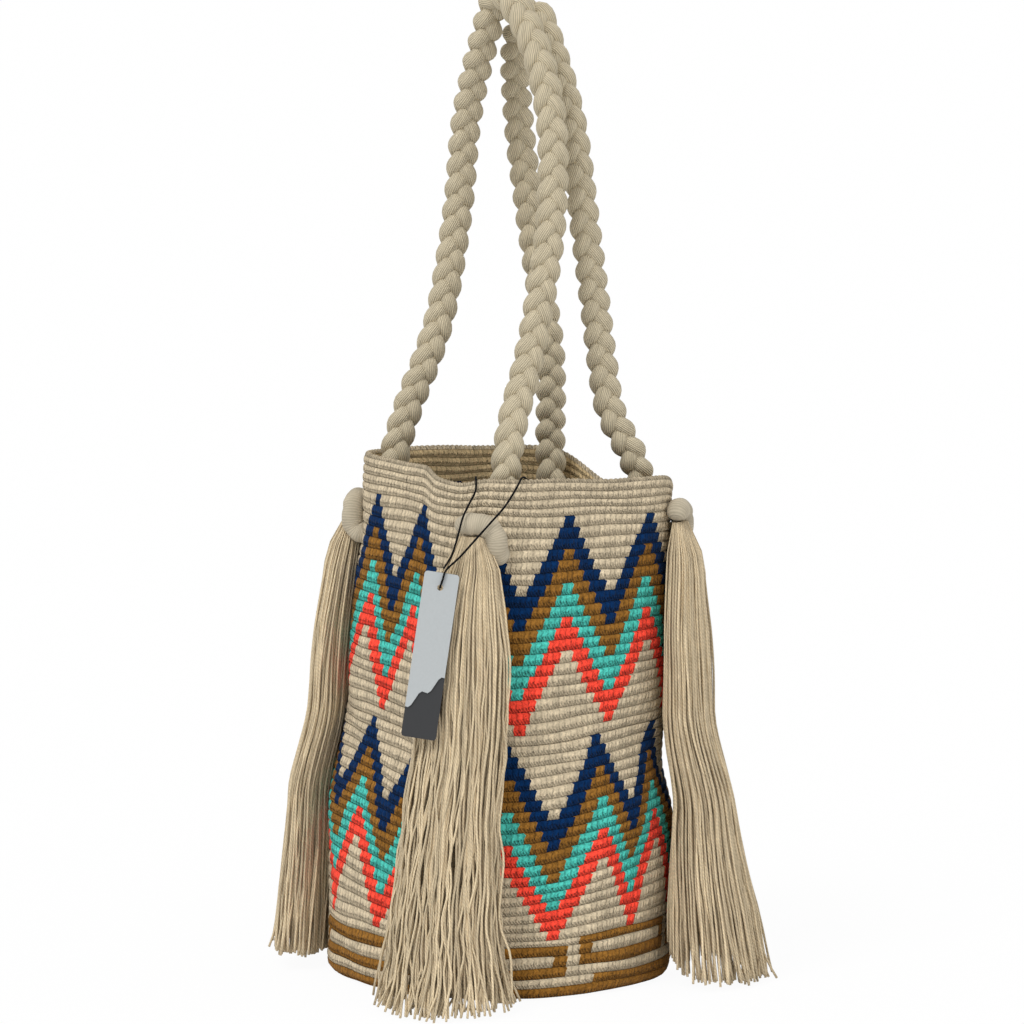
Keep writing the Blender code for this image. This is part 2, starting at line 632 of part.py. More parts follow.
mesh = body_mesh()
shade(mesh)
crochet_body = add_object("crochet_body", mesh, crochet_material(), tote)

roots = handle_roots()
profile = strand_profile()
handles = [
    ("front", handle_line(roots["left"], LEFT_LEG, FRONT_TOP, FRONT_LEG, roots["front"])),
    ("rear", handle_line(roots["rear"], REAR_LEG, REAR_TOP, RIGHT_LEG, roots["right"])),
]
for handle, line in handles:
    for letter, third in zip("abc", range(3)):
        phase = BRAID_START_PHASE + 2 * math.pi * third / 3
        add_strand(f"{handle}_handle_strand_{letter}", line, phase, profile, handle_yarn)

for name, angle, side, fan, floor_gap in CORNERS:
    cut_hole(crochet_body, name, angle, side)
    add_tube("knot_" + name, knot_points(angle, side), KNOT_TUBE_RADIUS, 2, handle_yarn)
    mesh = tassel_mesh("tassel_" + name, angle, side, fan, floor_gap)
    shade(mesh)
    add_object("tassel_" + name, mesh, tassel_yarn, tote)

add_card("tag_back_card", back_card_outline(), -CLEARANCE, make_material("black_card", CARD_BLACK, 0.5))
add_card("tag_front_card", front_card_outline(), TAG_THICKNESS, make_material("grey_card", CARD_GREY, 0.45))
add_tube("tag_string", string_route(), STRING_RADIUS, 2, make_material("black_string", STRING_BLACK, 0.6))
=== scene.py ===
"""Crocheted bucket tote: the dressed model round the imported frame, with its stage, light and camera."""
import math

import bpy
import numpy as np
from mathutils import Matrix, Vector


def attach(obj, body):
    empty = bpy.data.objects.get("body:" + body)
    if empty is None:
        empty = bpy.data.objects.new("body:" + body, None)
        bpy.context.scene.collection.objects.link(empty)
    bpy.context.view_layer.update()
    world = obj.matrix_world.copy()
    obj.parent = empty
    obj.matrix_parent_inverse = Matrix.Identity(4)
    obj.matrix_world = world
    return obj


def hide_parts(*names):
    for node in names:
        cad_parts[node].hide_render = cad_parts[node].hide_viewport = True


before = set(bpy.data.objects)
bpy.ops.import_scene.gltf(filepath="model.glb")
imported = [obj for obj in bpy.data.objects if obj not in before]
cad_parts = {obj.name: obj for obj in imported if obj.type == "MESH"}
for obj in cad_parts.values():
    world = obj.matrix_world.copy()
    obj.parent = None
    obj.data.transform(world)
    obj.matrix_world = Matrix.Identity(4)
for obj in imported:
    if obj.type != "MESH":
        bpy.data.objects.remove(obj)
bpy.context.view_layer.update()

# The wall's shape, course heights and places of the solids, as in the CAD source
STITCHES = 160
REPEAT = 16
FRET_HEIGHTS = [0.0072, 0.0050, 0.0056, 0.0063, 0.0060, 0.0041]
LOWER_HEIGHTS, PLAIN_HEIGHTS = [0.0059] * 19, [0.0058]
UPPER_HEIGHTS, TOP_HEIGHTS = [0.0064] * 19, [0.0047] * 4
EDGES = np.cumsum([0.0] + FRET_HEIGHTS + LOWER_HEIGHTS + PLAIN_HEIGHTS + UPPER_HEIGHTS + TOP_HEIGHTS)
COURSES = len(EDGES) - 1
LOWER_BAND, UPPER_BAND, BAND_COURSES = 6, 26, 19
WALL_HEIGHT = EDGES[-1]
THICKNESS = 0.0034
RADIUS_AT_BASE, RADIUS_AT_BELLY, RADIUS_AT_WAIST, RADIUS_AT_RIM = 0.0985, 0.0967, 0.0877, 0.0825
BELLY_HEIGHT, WAIST_HEIGHT = 0.100, 0.160
EDGE_ROUND = 0.008
BASE_SQUARENESS, RIM_SQUARENESS = 0.02, 0.10
RIM_TILT = 0.0047
COURSE_RISE, RISE_SHARE = 0.0048, 0.24
COURSE_SAG, SAG_SHARE, SAG_FADE = 0.0139, 0.26, 1.6
RIM_DIPS, RIM_DIP_FADE = [(math.radians(297), math.radians(13), 0.0045),
                          (math.radians(86), math.radians(36), 0.0150)], 8
LEAN, LEAN_GROWTH, LEAN_ANGLE = 0.012, 1.6, math.radians(56)
DENT_DEPTH, DENT_HEIGHT, DENT_SPREAD, DENT_ANGLE, DENT_WIDTH = 0.007, 0.122, 0.021, 1.05, 0.45
QUARTER = math.pi / 2
KNOT_HEIGHT = WALL_HEIGHT - 0.018
UP = np.array([0.0, 0.0, 1.0])

# Camera: how far it stands off along the view direction, how high, the height that it looks at, and its lens
VIEW_ANGLE = math.radians(56)
CAMERA_DISTANCE, CAMERA_HEIGHT, AIM_HEIGHT, CAMERA_SIDE = 3.86, 0.75, 0.27, 0.0078
LENS, SENSOR, VIEW_DEPTH = 235.2, 36.0, 50.0

# Seeds of the random draws, so that each run gives the same yarns and stitches
TUBE_SEED, STITCH_SEED, COURSE_SEED, TASSEL_SEED = 5, 3, 1000, 40

# Slope above which a tube counts as upright where it starts
STEEP = 0.9


def smooth_step(x):
    """Rise from 0 to 1 as x goes from 0 to 1, level at both ends."""
    x = np.clip(x, 0.0, 1.0)
    return x * x * (3 - 2 * x)


def end_rise(share, start, run):
    """0 up to start, then ever steeper to 1 over the run."""
    return np.clip((share - start) / run, 0, 1) ** 2


def turn_from(place, angle):
    """Turn from one place on the wall to an angle, the short way round."""
    return np.mod(angle - place + math.pi, 2 * math.pi) - math.pi


def axis_point(z):
    """Centre of the wall at heights z: the soft bag leans a little."""
    lean = LEAN * np.maximum(z / WALL_HEIGHT, 0.0) ** LEAN_GROWTH
    return np.stack([lean * math.cos(LEAN_ANGLE), lean * math.sin(LEAN_ANGLE), np.zeros_like(lean)], -1)


def squareness(z):
    """How far the wall's outline departs from a circle towards a square at heights z."""
    return BASE_SQUARENESS + (RIM_SQUARENESS - BASE_SQUARENESS) * z / WALL_HEIGHT


def plain_radius(angle, z):
    """Distance of the wall's outer face from its centre, without the dent."""
    belly = RADIUS_AT_BASE + (RADIUS_AT_BELLY - RADIUS_AT_BASE) * smooth_step(z / BELLY_HEIGHT)
    waist = smooth_step((z - BELLY_HEIGHT) / (WAIST_HEIGHT - BELLY_HEIGHT))
    rim = smooth_step((z - WAIST_HEIGHT) / (WALL_HEIGHT - WAIST_HEIGHT))
    radius = belly + (RADIUS_AT_WAIST - RADIUS_AT_BELLY) * waist + (RADIUS_AT_RIM - RADIUS_AT_WAIST) * rim
    return radius * (1 + squareness(z) * np.cos(4 * (angle - QUARTER / 2)))


def wall_radius(angle, z):
    """The same distance with the dent in the wall's right side."""
    turn = turn_from(DENT_ANGLE, angle) / DENT_WIDTH
    return plain_radius(angle, z) - DENT_DEPTH * np.exp(-turn ** 2 - ((z - DENT_HEIGHT) / DENT_SPREAD) ** 2)


def course_height(angle, level):
    """True height at a level of the flat course chart: courses rise and sag, and the rim tilts and dips."""
    share = np.minimum(level / WALL_HEIGHT, 1.0)
    rise = COURSE_RISE * smooth_step(share / RISE_SHARE)
    sag = COURSE_SAG * smooth_step(share / SAG_SHARE) ** 2 * (1 - share) ** SAG_FADE
    tilt = RIM_TILT * share ** 2 * np.cos(angle - LEAN_ANGLE)
    dip = 0.0
    for place, width, depth in RIM_DIPS:
        dip = dip + depth * np.exp(-(turn_from(place, angle) / width) ** 4)
    return level + rise + sag * np.cos(2 * (angle - LEAN_ANGLE)) - tilt - dip * share ** RIM_DIP_FADE


def wall_points(angle, level, offset):
    """Points on the wall's outer face, moved outwards by offset."""
    z = course_height(angle, level)
    radius = wall_radius(angle, z) + offset
    points = axis_point(z)
    points[..., 0] += radius * np.cos(angle)
    points[..., 1] += radius * np.sin(angle)
    points[..., 2] = z
    return points


def corner_frame(angle, z):
    """Point on the undented wall, tangent and outward normal at or near one of the bag's four corners."""
    normal = np.array([math.cos(angle), math.sin(angle), 0.0])
    tangent = np.array([-math.sin(angle), math.cos(angle), 0.0])
    return axis_point(np.float64(z)) + normal * plain_radius(angle, z) + UP * z, tangent, normal


def spline_points(knots, steps=12):
    """Points on a smooth curve through the given points."""
    knots = np.asarray(knots, float)
    padded = np.concatenate([[2 * knots[0] - knots[1]], knots, [2 * knots[-1] - knots[-2]]])
    t = (np.arange(steps) / steps)[:, None]
    points = []
    for p0, p1, p2, p3 in zip(padded, padded[1:], padded[2:], padded[3:]):
        points.append(0.5 * (p1 * 2 + (p2 - p0) * t + (p0 * 2 - p1 * 5 + p2 * 4 - p3) * t ** 2
                             + (p1 * 3 - p0 - p2 * 3 + p3) * t ** 3))
    return np.concatenate(points + [knots[-1:]])


def resample(points, count):
    """The polyline's points at count even steps along it."""
    lengths = np.concatenate([[0], np.cumsum(np.linalg.norm(np.diff(points, axis=0), axis=1))])
    even = np.linspace(0, lengths[-1], count + 1)
    return np.stack([np.interp(even, lengths, column) for column in points.T], -1)


def path_length(points):
    """Length of a polyline."""
    return float(np.linalg.norm(np.diff(points, axis=0), axis=1).sum())


def arc(centre, first, second, stop, steps):
    """Points on an arc that starts at the first direction and turns towards the second."""
    turns = np.linspace(0, stop, steps + 1)[:, None]
    return list(centre + first * np.cos(turns) + second * np.sin(turns))


# Looks of the fabrics: roughness, gloss and sheen, then the strength and depth of their bumps
ROUGHNESS, GLOSS = 0.9, 0.08
CROCHET_SHEEN, YARN_SHEEN = 0.03, 0.08
CROCHET_BUMP, YARN_BUMP = (0.9, 0.0011), 0.7
CROCHET_FIBRES = {"Scale": 2.2, "Detail": 3.0, "Roughness": 0.7}
YARN_FIBRES = {"Scale": 1.0, "Detail": 3.0, "Roughness": 0.6}
VARIETY = 0.26

# Crochet, in stitches round and courses up: its fibres, the groove under each course, the legs below the
# loops with their ragged tops, lean and wander, the slanting rounded loops, and the mean of their shade.
# Groove, legs and loops make the bump and also painted shade: the groove and the gaps between legs are
# painted darker, and the loops are painted lighter at their crowns
FIBRE_STRETCH, FIBRE_HEIGHT = 1.7, 0.4
GROOVE_BELOW, GROOVE_ABOVE = (-0.09, 0.15), (1.06, 0.94)
LEG_TOP, LEG_RAGGED, LEG_LEAN, LEG_WANDER, LEG_DEPTH = (0.58, 0.30), 0.5, 2.4, 1.1, 0.85
LOOP_SLANT, LOOP_SIDES, LOOP_ROUND = 0.35, (0.5, 0.30), 0.4
CROCHET_LEVEL, FIELD_MEAN = 0.86, 0.53

# Yarn: fibres for each ply round it, for each metre along it and from yarn to yarn, and how much plies and
# fibres stand out and shade it. The plies' shade is painted shade in the troughs between them, and the
# fibres give an uneven tone
FIBRES_ROUND, FIBRES_ALONG, FIBRES_APART = 1.5, 160.0, 50.0
PLY_HEIGHT, PLY_FIBRE_HEIGHT, PLY_FIBRE_SHADE, PLY_LEVEL, YARN_LEVEL = 0.8, 0.5, 0.9, 0.60, 0.99


def make_node(tree, kind, inputs=(), **settings):
    """Shader node with its settings and its inputs, which are sockets or values, by place or by name."""
    node = tree.nodes.new("ShaderNode" + kind)
    for key, value in settings.items():
        setattr(node, key, value)
    pairs = inputs.items() if isinstance(inputs, dict) else enumerate(inputs)
    for key, value in pairs:
        if isinstance(value, bpy.types.NodeSocket):
            tree.links.new(value, node.inputs[key])
        else:
            node.inputs[key].default_value = value
    return node


def maths(tree, operation, *values):
    """Result of one sum on sockets or values."""
    return make_node(tree, "Math", values, operation=operation).outputs[0]


def noise(tree, place, grain):
    """Noise of this grain over the places."""
    return make_node(tree, "TexNoise", {"Vector": place, **grain}).outputs[0]


def wave(tree, phase):
    """0 to 1 and back each time the phase grows by 1."""
    sine = maths(tree, "SINE", maths(tree, "MULTIPLY", phase, 2 * math.pi))
    return maths(tree, "MULTIPLY_ADD", sine, 0.5, 0.5)


def smooth_range(tree, value, low, high):
    """0 below low, 1 above high and smooth between, or the other way round where low is above high."""
    inputs = [value, low, high, 0.0, 1.0]
    return make_node(tree, "MapRange", inputs, interpolation_type="SMOOTHSTEP").outputs[0]


def new_material(name, roughness, gloss):
    """New material, its node tree and its shader."""
    material = bpy.data.materials.new(name)
    material.use_nodes = True
    shader = material.node_tree.nodes["Principled BSDF"]
    shader.inputs["Roughness"].default_value = roughness
    shader.inputs["Specular IOR Level"].default_value = gloss
    return material, material.node_tree, shader


def fabric(name, sheen):
    """New material with a matt shader, and the place on the yarn: round it, along it, and which yarn."""
    material, tree, shader = new_material(name, ROUGHNESS, GLOSS)
    shader.inputs["Sheen Weight"].default_value = sheen
    place = make_node(tree, "Attribute", attribute_name="yarn")
    axes = make_node(tree, "SeparateXYZ", [place.outputs["Vector"]])
    return material, tree, shader, axes.outputs


def finish_fabric(tree, shader, colour, height, shade, strength, distance):
    """Colour times shade, and a bump from height."""
    grey = make_node(tree, "CombineXYZ", [shade, shade, shade])
    tint = make_node(tree, "VectorMath", [(*colour,), grey.outputs[0]], operation="MULTIPLY")
    tree.links.new(tint.outputs[0], shader.inputs["Base Color"])
    bump = make_node(tree, "Bump", {"Height": height, "Strength": strength, "Distance": distance})
    tree.links.new(bump.outputs[0], shader.inputs["Normal"])


def crochet_material(name, colour, painted_shade, speckle):
    """One yarn worked in crochet: a narrow groove under each course, and leaning legs below its loops.
    Both are bumps and also painted shade: the groove and the gaps between legs are painted darker.
    """
    material, tree, shader, (round_wall, up_wall, which) = fabric(name, CROCHET_SHEEN)
    stretched = make_node(tree, "CombineXYZ", [round_wall, maths(tree, "MULTIPLY", up_wall, FIBRE_STRETCH),
                                               which])
    fibres = noise(tree, stretched.outputs[0], CROCHET_FIBRES)
    rise = maths(tree, "FRACT", up_wall)
    groove_below = smooth_range(tree, rise, *GROOVE_BELOW)
    groove = maths(tree, "MULTIPLY", groove_below, smooth_range(tree, rise, *GROOVE_ABOVE))
    edge = maths(tree, "MULTIPLY_ADD", fibres, LEG_RAGGED, maths(tree, "SUBTRACT", rise, LEG_RAGGED / 2))
    lean = maths(tree, "MULTIPLY_ADD", rise, LEG_LEAN, maths(tree, "MULTIPLY", fibres, LEG_WANDER))
    legs = wave(tree, maths(tree, "MULTIPLY_ADD", round_wall, 2.0, lean))
    dashes = maths(tree, "MULTIPLY", legs, smooth_range(tree, edge, *LEG_TOP))
    slant = maths(tree, "FRACT", maths(tree, "MULTIPLY_ADD", rise, LOOP_SLANT, round_wall))
    middle = maths(tree, "ABSOLUTE", maths(tree, "SUBTRACT", slant, 0.5))
    crown = maths(tree, "MULTIPLY_ADD", smooth_range(tree, middle, *LOOP_SIDES), LOOP_ROUND, 1 - LOOP_ROUND)
    loops = maths(tree, "MULTIPLY", groove, crown)
    relief_and_painted_shade = maths(tree, "MULTIPLY_ADD", dashes, -LEG_DEPTH, loops)
    height = maths(tree, "MULTIPLY_ADD", fibres, FIBRE_HEIGHT, relief_and_painted_shade)
    level = CROCHET_LEVEL - speckle / 2 - painted_shade * FIELD_MEAN
    speckles = maths(tree, "MULTIPLY_ADD", fibres, speckle, level)
    # Painted shade: the groove and the gaps between legs darken the colour, and the loops' crowns lighten it
    shade = maths(tree, "MULTIPLY_ADD", relief_and_painted_shade, painted_shade, speckles)
    shade = maths(tree, "MULTIPLY", shade, maths(tree, "MULTIPLY_ADD", which, VARIETY, 1 - VARIETY / 2))
    finish_fabric(tree, shader, colour, height, shade, *CROCHET_BUMP)
    return material


def yarn_material(name, colour, plies, pitch, painted_shade, depth, variety=VARIETY):
    """Twisted yarn: so many plies round it, each turning once round in the pitch, with fine fibres.
    The troughs between plies are bumped and also painted darker as painted shade.
    """
    material, tree, shader, (turn, along, which) = fabric(name, YARN_SHEEN)
    lay = maths(tree, "MULTIPLY_ADD", along, 1.0 / pitch, which)
    ridges = wave(tree, maths(tree, "MULTIPLY", maths(tree, "ADD", turn, lay), plies))
    stretched = make_node(tree, "CombineXYZ", [maths(tree, "MULTIPLY", turn, plies * FIBRES_ROUND),
                                               maths(tree, "MULTIPLY", along, FIBRES_ALONG),
                                               maths(tree, "MULTIPLY", which, FIBRES_APART)])
    fibres = noise(tree, stretched.outputs[0], YARN_FIBRES)
    height = maths(tree, "MULTIPLY_ADD", ridges, PLY_HEIGHT,
                   maths(tree, "MULTIPLY", fibres, PLY_FIBRE_HEIGHT))
    # Painted shade: the troughs between plies darken the colour
    shade = maths(tree, "MULTIPLY_ADD", ridges, painted_shade,
                  maths(tree, "MULTIPLY_ADD", fibres, PLY_FIBRE_SHADE, PLY_LEVEL - painted_shade / 2))
    shade = maths(tree, "MULTIPLY", shade,
                  maths(tree, "MULTIPLY_ADD", which, variety, YARN_LEVEL - variety / 2))
    finish_fabric(tree, shader, colour, height, shade, YARN_BUMP, depth)
    return material


def grained_material(name, colour, roughness, gloss, grain, variety, bump):
    """Card or waxed string: one colour with a fine grain in its shade and its surface."""
    material, tree, shader = new_material(name, roughness, gloss)
    fine = noise(tree, make_node(tree, "TexCoord").outputs["Object"], grain)
    shade = maths(tree, "MULTIPLY_ADD", fine, variety, 1 - variety / 2)
    finish_fabric(tree, shader, colour, fine, shade, *bump)
    return material


def add_object(name, data):
    """New object with this data, in the scene."""
    thing = bpy.data.objects.new(name, data)
    bpy.context.scene.collection.objects.link(thing)
    return thing


def add_mesh(name, points, faces, caps, coords, materials, index=None):
    """Smooth mesh of quads and caps of one size, with the place on the yarn at each face corner."""
    mesh = bpy.data.meshes.new(name)
    loops = np.concatenate([faces.ravel(), caps.ravel()])
    starts = np.concatenate([np.arange(len(faces)) * 4,
                             4 * len(faces) + np.arange(len(caps)) * caps.shape[1]])
    mesh.vertices.add(len(points))
    mesh.vertices.foreach_set("co", np.ascontiguousarray(points, np.float32).ravel())
    mesh.loops.add(len(loops))
    mesh.loops.foreach_set("vertex_index", loops.astype(np.int32))
    mesh.polygons.add(len(starts))
    mesh.polygons.foreach_set("loop_start", starts.astype(np.int32))
    if index is not None:
        mesh.polygons.foreach_set("material_index", index.astype(np.int32))
    mesh.update(calc_edges=True)
    mesh.shade_smooth()
    # Caps lie at the yarn's start and take the middle shade
    corners = np.zeros((len(loops), 3), np.float32)
    corners[:len(coords)] = coords
    corners[len(coords):, 2] = 0.5
    place = mesh.attributes.new("yarn", "FLOAT_VECTOR", "CORNER")
    place.data.foreach_set("vector", corners.ravel())
    for material in materials:
        mesh.materials.append(material)
    return add_object(name, mesh)


def ring_faces(count, rings, columns):
    """Quads of so many tubes, each of so many rings with so many points."""
    start = (np.arange(count) * rings * columns)[:, None, None] + (np.arange(rings - 1) * columns)[:, None]
    low = start + np.arange(columns)
    nxt = start + (np.arange(columns) + 1) % columns
    return np.stack([low, nxt, nxt + columns, low + columns], -1).reshape(-1, 4)


def face_coords(left, right, below, above, which):
    """Place on the yarn at the four corners of each quad."""
    corners = ((left, below), (right, below), (right, above), (left, above))
    return np.stack([np.stack([u, v, which], -1) for u, v in corners], -2).reshape(-1, 3)


def dress(piece, slot, *nodes):
    """The piece stands for these solids and rides with the bag. The slot is not used."""
    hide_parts(*nodes)
    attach(piece, "root")


def tubes(name, paths, radii, sides, material):
    """Closed tubes of yarn along paths, which are (tubes, rings, 3), with radii (tubes, rings)."""
    count, rings, _ = paths.shape
    along = np.gradient(paths, axis=1)
    along /= np.linalg.norm(along, axis=-1, keepdims=True)
    first = np.zeros_like(paths)
    helper = np.where(np.abs(along[:, :1, 2:]) < STEEP, UP, np.array([1.0, 0.0, 0.0]))[:, 0]
    side = np.cross(along[:, 0], helper)
    for i in range(rings):
        side = side - along[:, i] * (side * along[:, i]).sum(-1, keepdims=True)
        side /= np.linalg.norm(side, axis=-1, keepdims=True)
        first[:, i] = side
    second = np.cross(along, first)
    turn = 2 * math.pi * np.arange(sides) / sides
    around = (first[:, :, None] * np.cos(turn)[:, None] + second[:, :, None] * np.sin(turn)[:, None])
    points = paths[:, :, None] + radii[:, :, None, None] * around
    base = (np.arange(count) * rings * sides)[:, None]
    caps = np.concatenate([base + np.arange(sides)[::-1], base + (rings - 1) * sides + np.arange(sides)])
    lengths = np.linalg.norm(np.diff(paths, axis=1), axis=-1)
    lengths = np.concatenate([np.zeros((count, 1)), np.cumsum(lengths, axis=1)], axis=1)
    shape = (count, rings - 1, sides)
    which = np.random.default_rng(TUBE_SEED).random(count)[:, None, None] * np.ones(shape)
    left = np.arange(sides) / sides * np.ones(shape)
    below, above = (lengths[:, cut, None] * np.ones(shape) for cut in (slice(None, -1), slice(1, None)))
    coords = face_coords(left, left + 1 / sides, below, above, which)
    return add_mesh(name, points.reshape(-1, 3), ring_faces(count, rings, sides), caps, coords, [material])


# Camera first, then the tag's string

view_right = np.array([math.cos(VIEW_ANGLE), math.sin(VIEW_ANGLE), 0.0])
view_back = np.array([math.sin(VIEW_ANGLE), -math.cos(VIEW_ANGLE), 0.0])
camera_data = bpy.data.cameras.new("camera")
camera_data.lens = LENS
camera_data.sensor_width = SENSOR
camera_data.clip_end = VIEW_DEPTH
camera = add_object("camera", camera_data)
camera.location = view_back * CAMERA_DISTANCE + view_right * CAMERA_SIDE + UP * CAMERA_HEIGHT
pitch = math.atan2(CAMERA_HEIGHT - AIM_HEIGHT, CAMERA_DISTANCE)
camera.rotation_euler = (QUARTER - pitch, 0.0, VIEW_ANGLE)
bpy.context.scene.camera = camera

# Corners with a knot and a tassel: angle, side that the knot's leg is on, how far the tassel fans out at its
# foot, and its gap to the floor
CORNERS = [
    ("left", math.radians(225), 1, 0.3, 0.0075),
    ("front", math.radians(315), 1, 0.9, 0.0015),
    ("right", math.radians(45), 1, 1.5, 0.0015),
    ("rear", math.radians(135), -1, 0.4, 0.0030),
]
FRONT_CORNER = CORNERS[1][1]

# The tag and its string: points in the tag, then along, above and out from the front knot
STRING_RADIUS, STRING_STEPS, STRING_BEVEL = 0.0006, 140, 3
STRING_AT_TAG = [(0.0, 0.0, -0.0030), (0.0, 0.0004, 0.0010), (0.0010, 0.0050, 0.0019),
                 (0.0021, 0.0105, 0.0013)]
STRING_END = (0.0005, 0.0112, 0.0016)
STRING_POINTS = [(-0.0110, -0.0165, 0.0225), (-0.0030, -0.0070, 0.0172), (0.0045, 0.0018, 0.0132),
                 (0.0119, 0.0110, 0.0072), (0.0172, 0.0203, 0.0020), (0.0197, 0.0262, -0.0038),
                 (0.0213, 0.0238, -0.0115), (0.0213, 0.0198, -0.0210), (0.0085, 0.0185, -0.0325),
                 (-0.0065, 0.0195, -0.0230), (-0.0080, 0.0232, -0.0105), (-0.0070, 0.0258, -0.0030),
                 (-0.0060, 0.0190, 0.0028), (-0.0088, 0.0117, 0.0082), (-0.0112, 0.0045, 0.0142),
                 (-0.0133, -0.0064, 0.0192), (-0.0160, -0.0160, 0.0225)]
TAG_SIDE, TAG_DROP, TAG_STAND = -0.0192, 0.0335, 0.0275
TAG_TURN, TAG_TILT, TAG_PITCH = math.radians(50), math.radians(8), math.radians(4)
CARDS = [("tag_back_card", (0.020, 0.021, 0.023), 0.5), ("tag_front_card", (0.42, 0.445, 0.452), 0.45)]

# Looks of cards and string: gloss, grain, variety of shade, and bump
CARD_LOOK = (0.5, {"Scale": 700.0, "Detail": 4.0}, 0.10, (0.15, 0.0001))
STRING_COLOUR, STRING_ROUGHNESS = (0.003, 0.003, 0.0035), 0.8
STRING_LOOK = (0.15, {"Scale": 1800.0, "Detail": 2.0}, 1.0, (0.5, 0.0002))


def tag_matrix():
    """Place of the tag: its hole at the origin, X along its width, Y up it, Z out of its face."""
    point, tangent, normal = corner_frame(FRONT_CORNER, KNOT_HEIGHT - TAG_DROP)
    hole = Vector(point + tangent * TAG_SIDE + normal * TAG_STAND)
    turn = Matrix.Rotation(TAG_TURN, 4, "Z") @ Matrix.Rotation(QUARTER - TAG_PITCH, 4, "X")
    return Matrix.Translation(hole) @ turn @ Matrix.Rotation(-TAG_TILT, 4, "Z")


def string_route():
    """Tag string: through the tag's hole, over the rim, round the front handle's leg and back to the tag."""
    point, tangent, normal = corner_frame(FRONT_CORNER, KNOT_HEIGHT)
    tag = tag_matrix()
    knots = [tag @ Vector(place) for place in STRING_AT_TAG]
    knots += [point + tangent * side + UP * height + normal * out for side, height, out in STRING_POINTS]
    knots.append(tag @ Vector(STRING_END))
    return resample(spline_points(knots), STRING_STEPS)


route = string_route()
string_curve = bpy.data.curves.new("tag_string_cord", "CURVE")
string_curve.dimensions = "3D"
string_curve.bevel_depth = STRING_RADIUS
string_curve.bevel_resolution = STRING_BEVEL
string_curve.use_fill_caps = True
string_spline = string_curve.splines.new("POLY")
string_spline.points.add(len(route) - 1)
string_spline.points.foreach_set("co", np.column_stack([route, np.ones(len(route))]).ravel())
tag_string = add_object("tag_string_cord", string_curve)
waxed_string = grained_material("waxed_string", STRING_COLOUR, STRING_ROUGHNESS, *STRING_LOOK)
string_curve.materials.append(waxed_string)
dress(tag_string, "black_string", "tag_string")
for node, colour, roughness in CARDS:
    material = grained_material(node + "_card", colour, roughness, *CARD_LOOK)
    for card_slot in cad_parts[node].material_slots:
        card_slot.material = material

# Crocheted wall

BEIGE, NAVY, TAN, TURQUOISE, CORAL = range(5)
YARNS = [("beige", (0.59, 0.49, 0.34)), ("navy", (0.0008, 0.020, 0.078)), ("tan", (0.245, 0.112, 0.020)),
         ("turquoise", (0.066, 0.46, 0.385)), ("coral", (0.87, 0.066, 0.038))]
INSIDE_BEIGE = (0.66, 0.505, 0.285)
# How strongly the painted shade of grooves, leg gaps and loop crowns, and the fibres' uneven tone,
# mark the plain yarn and the dyed ones
BEIGE_SHADE_AND_SPECKLE, DYED_SHADE_AND_SPECKLE = (0.44, 1.3), (0.66, 2.3)

# Zigzags: courses of each yarn, and how many stitches further round the bands start. The places say where
# some stitches of a band really lie, since the fabric is drawn askew, and are smoothed over neighbours
STRIPE = 3
LOWER_SHIFT, UPPER_SHIFT = 5, 0
LOWER_PLACES = [(-51, -50.5), (-35, -36.4), (-19, -21.5), (-3, -6.9), (5, 2.5), (13, 7.7), (29, 18.5)]
UPPER_PLACES = [(-48, -48.9), (-32, -35.3), (-8, -13.6), (0, -4.4), (8, 4.5), (16, 12.0)]
PLACE_BLEND, PLACE_BLEND_WIDTH, NEIGHBOURS = 0.42, 0.2, 4

# Fret round the foot: first stitch of each motif, how many of them are high, the top course of high and low
# ones, the gap between motifs, and where the tan and coral lines start in the first one
FRET_STARTS = (1, 28, 54, 80, 106, 132, 161)
HIGH_MOTIFS, HIGH_TOP, LOW_TOP, FRET_GAP = 3, 5, 4, 2
TAN_INSET, CORAL_INSET = 2, 6

# Stitches: how far they stand out, how far and round what mean they lean, and how much one slips and swells
RELIEF, STITCH_LEAN, LEAN_MEAN, SLIP, SWELL, SEAT = 0.0011, 0.5, 0.25, 0.07, 0.08, 0.5
# Rings of points in a course: how high, how proud, and how deep the gaps between stitches are
COURSE_STEPS = (0.0, 0.11, 0.30, 0.60, 0.87)
COURSE_RELIEF = (0.0, 0.66, 0.90, 1.0, 0.80)
COURSE_GAPS = (0.15, 0.50, 0.45, 0.25, 0.20)
STITCH_STEPS = np.array([0.0, 0.25, 0.5, 0.75, 1.0])
STITCH_GAPS = np.array([1.0, 0.0, 0.75, 0.0, 1.0])
OUTER_POINTS, INNER_POINTS = 4, 2
INSIDE_STEPS, INSIDE_GAP = ((1.0, 0.0), (0.66, 0.8), (0.33, 0.8)), 0.3
# Slow waves of the hand-made fabric: size, waves round, waves up and start
RIPPLES = ((0.0005, 5, 61, 1.0), (0.0004, 11, -83, 0.0), (0.0003, 17, 140, 2.0))
COURSE_WAVE, COURSE_WAVES_ROUND = 0.0004, 7
ANGLE_SAMPLES = 1441

# Rim: rings over it, how far it is crowned, and its chain of slanting loops
RIM_STEPS, RIM_RELIEF, RIM_CROWN, CHAIN_RELIEF, CHAIN_SLANT = 8, 0.55, 0.0021, 0.0016, 0.35
# Base: rounds of stitches, how far they stand out, and the share of its radius that stays open
BASE_ROUNDS, BASE_RELIEF, BASE_EYE = 16, 0.0006, 0.004
BASE_RINGS = 2 * BASE_ROUNDS + 1
EDGE_ROW = COURSES

crochet = [crochet_material("crochet_" + yarn, colour, *(BEIGE_SHADE_AND_SPECKLE if yarn == "beige" else DYED_SHADE_AND_SPECKLE))
           for yarn, colour in YARNS]
crochet_inside = [crochet_material("crochet_inside_beige", INSIDE_BEIGE, *BEIGE_SHADE_AND_SPECKLE)] + crochet[1:]


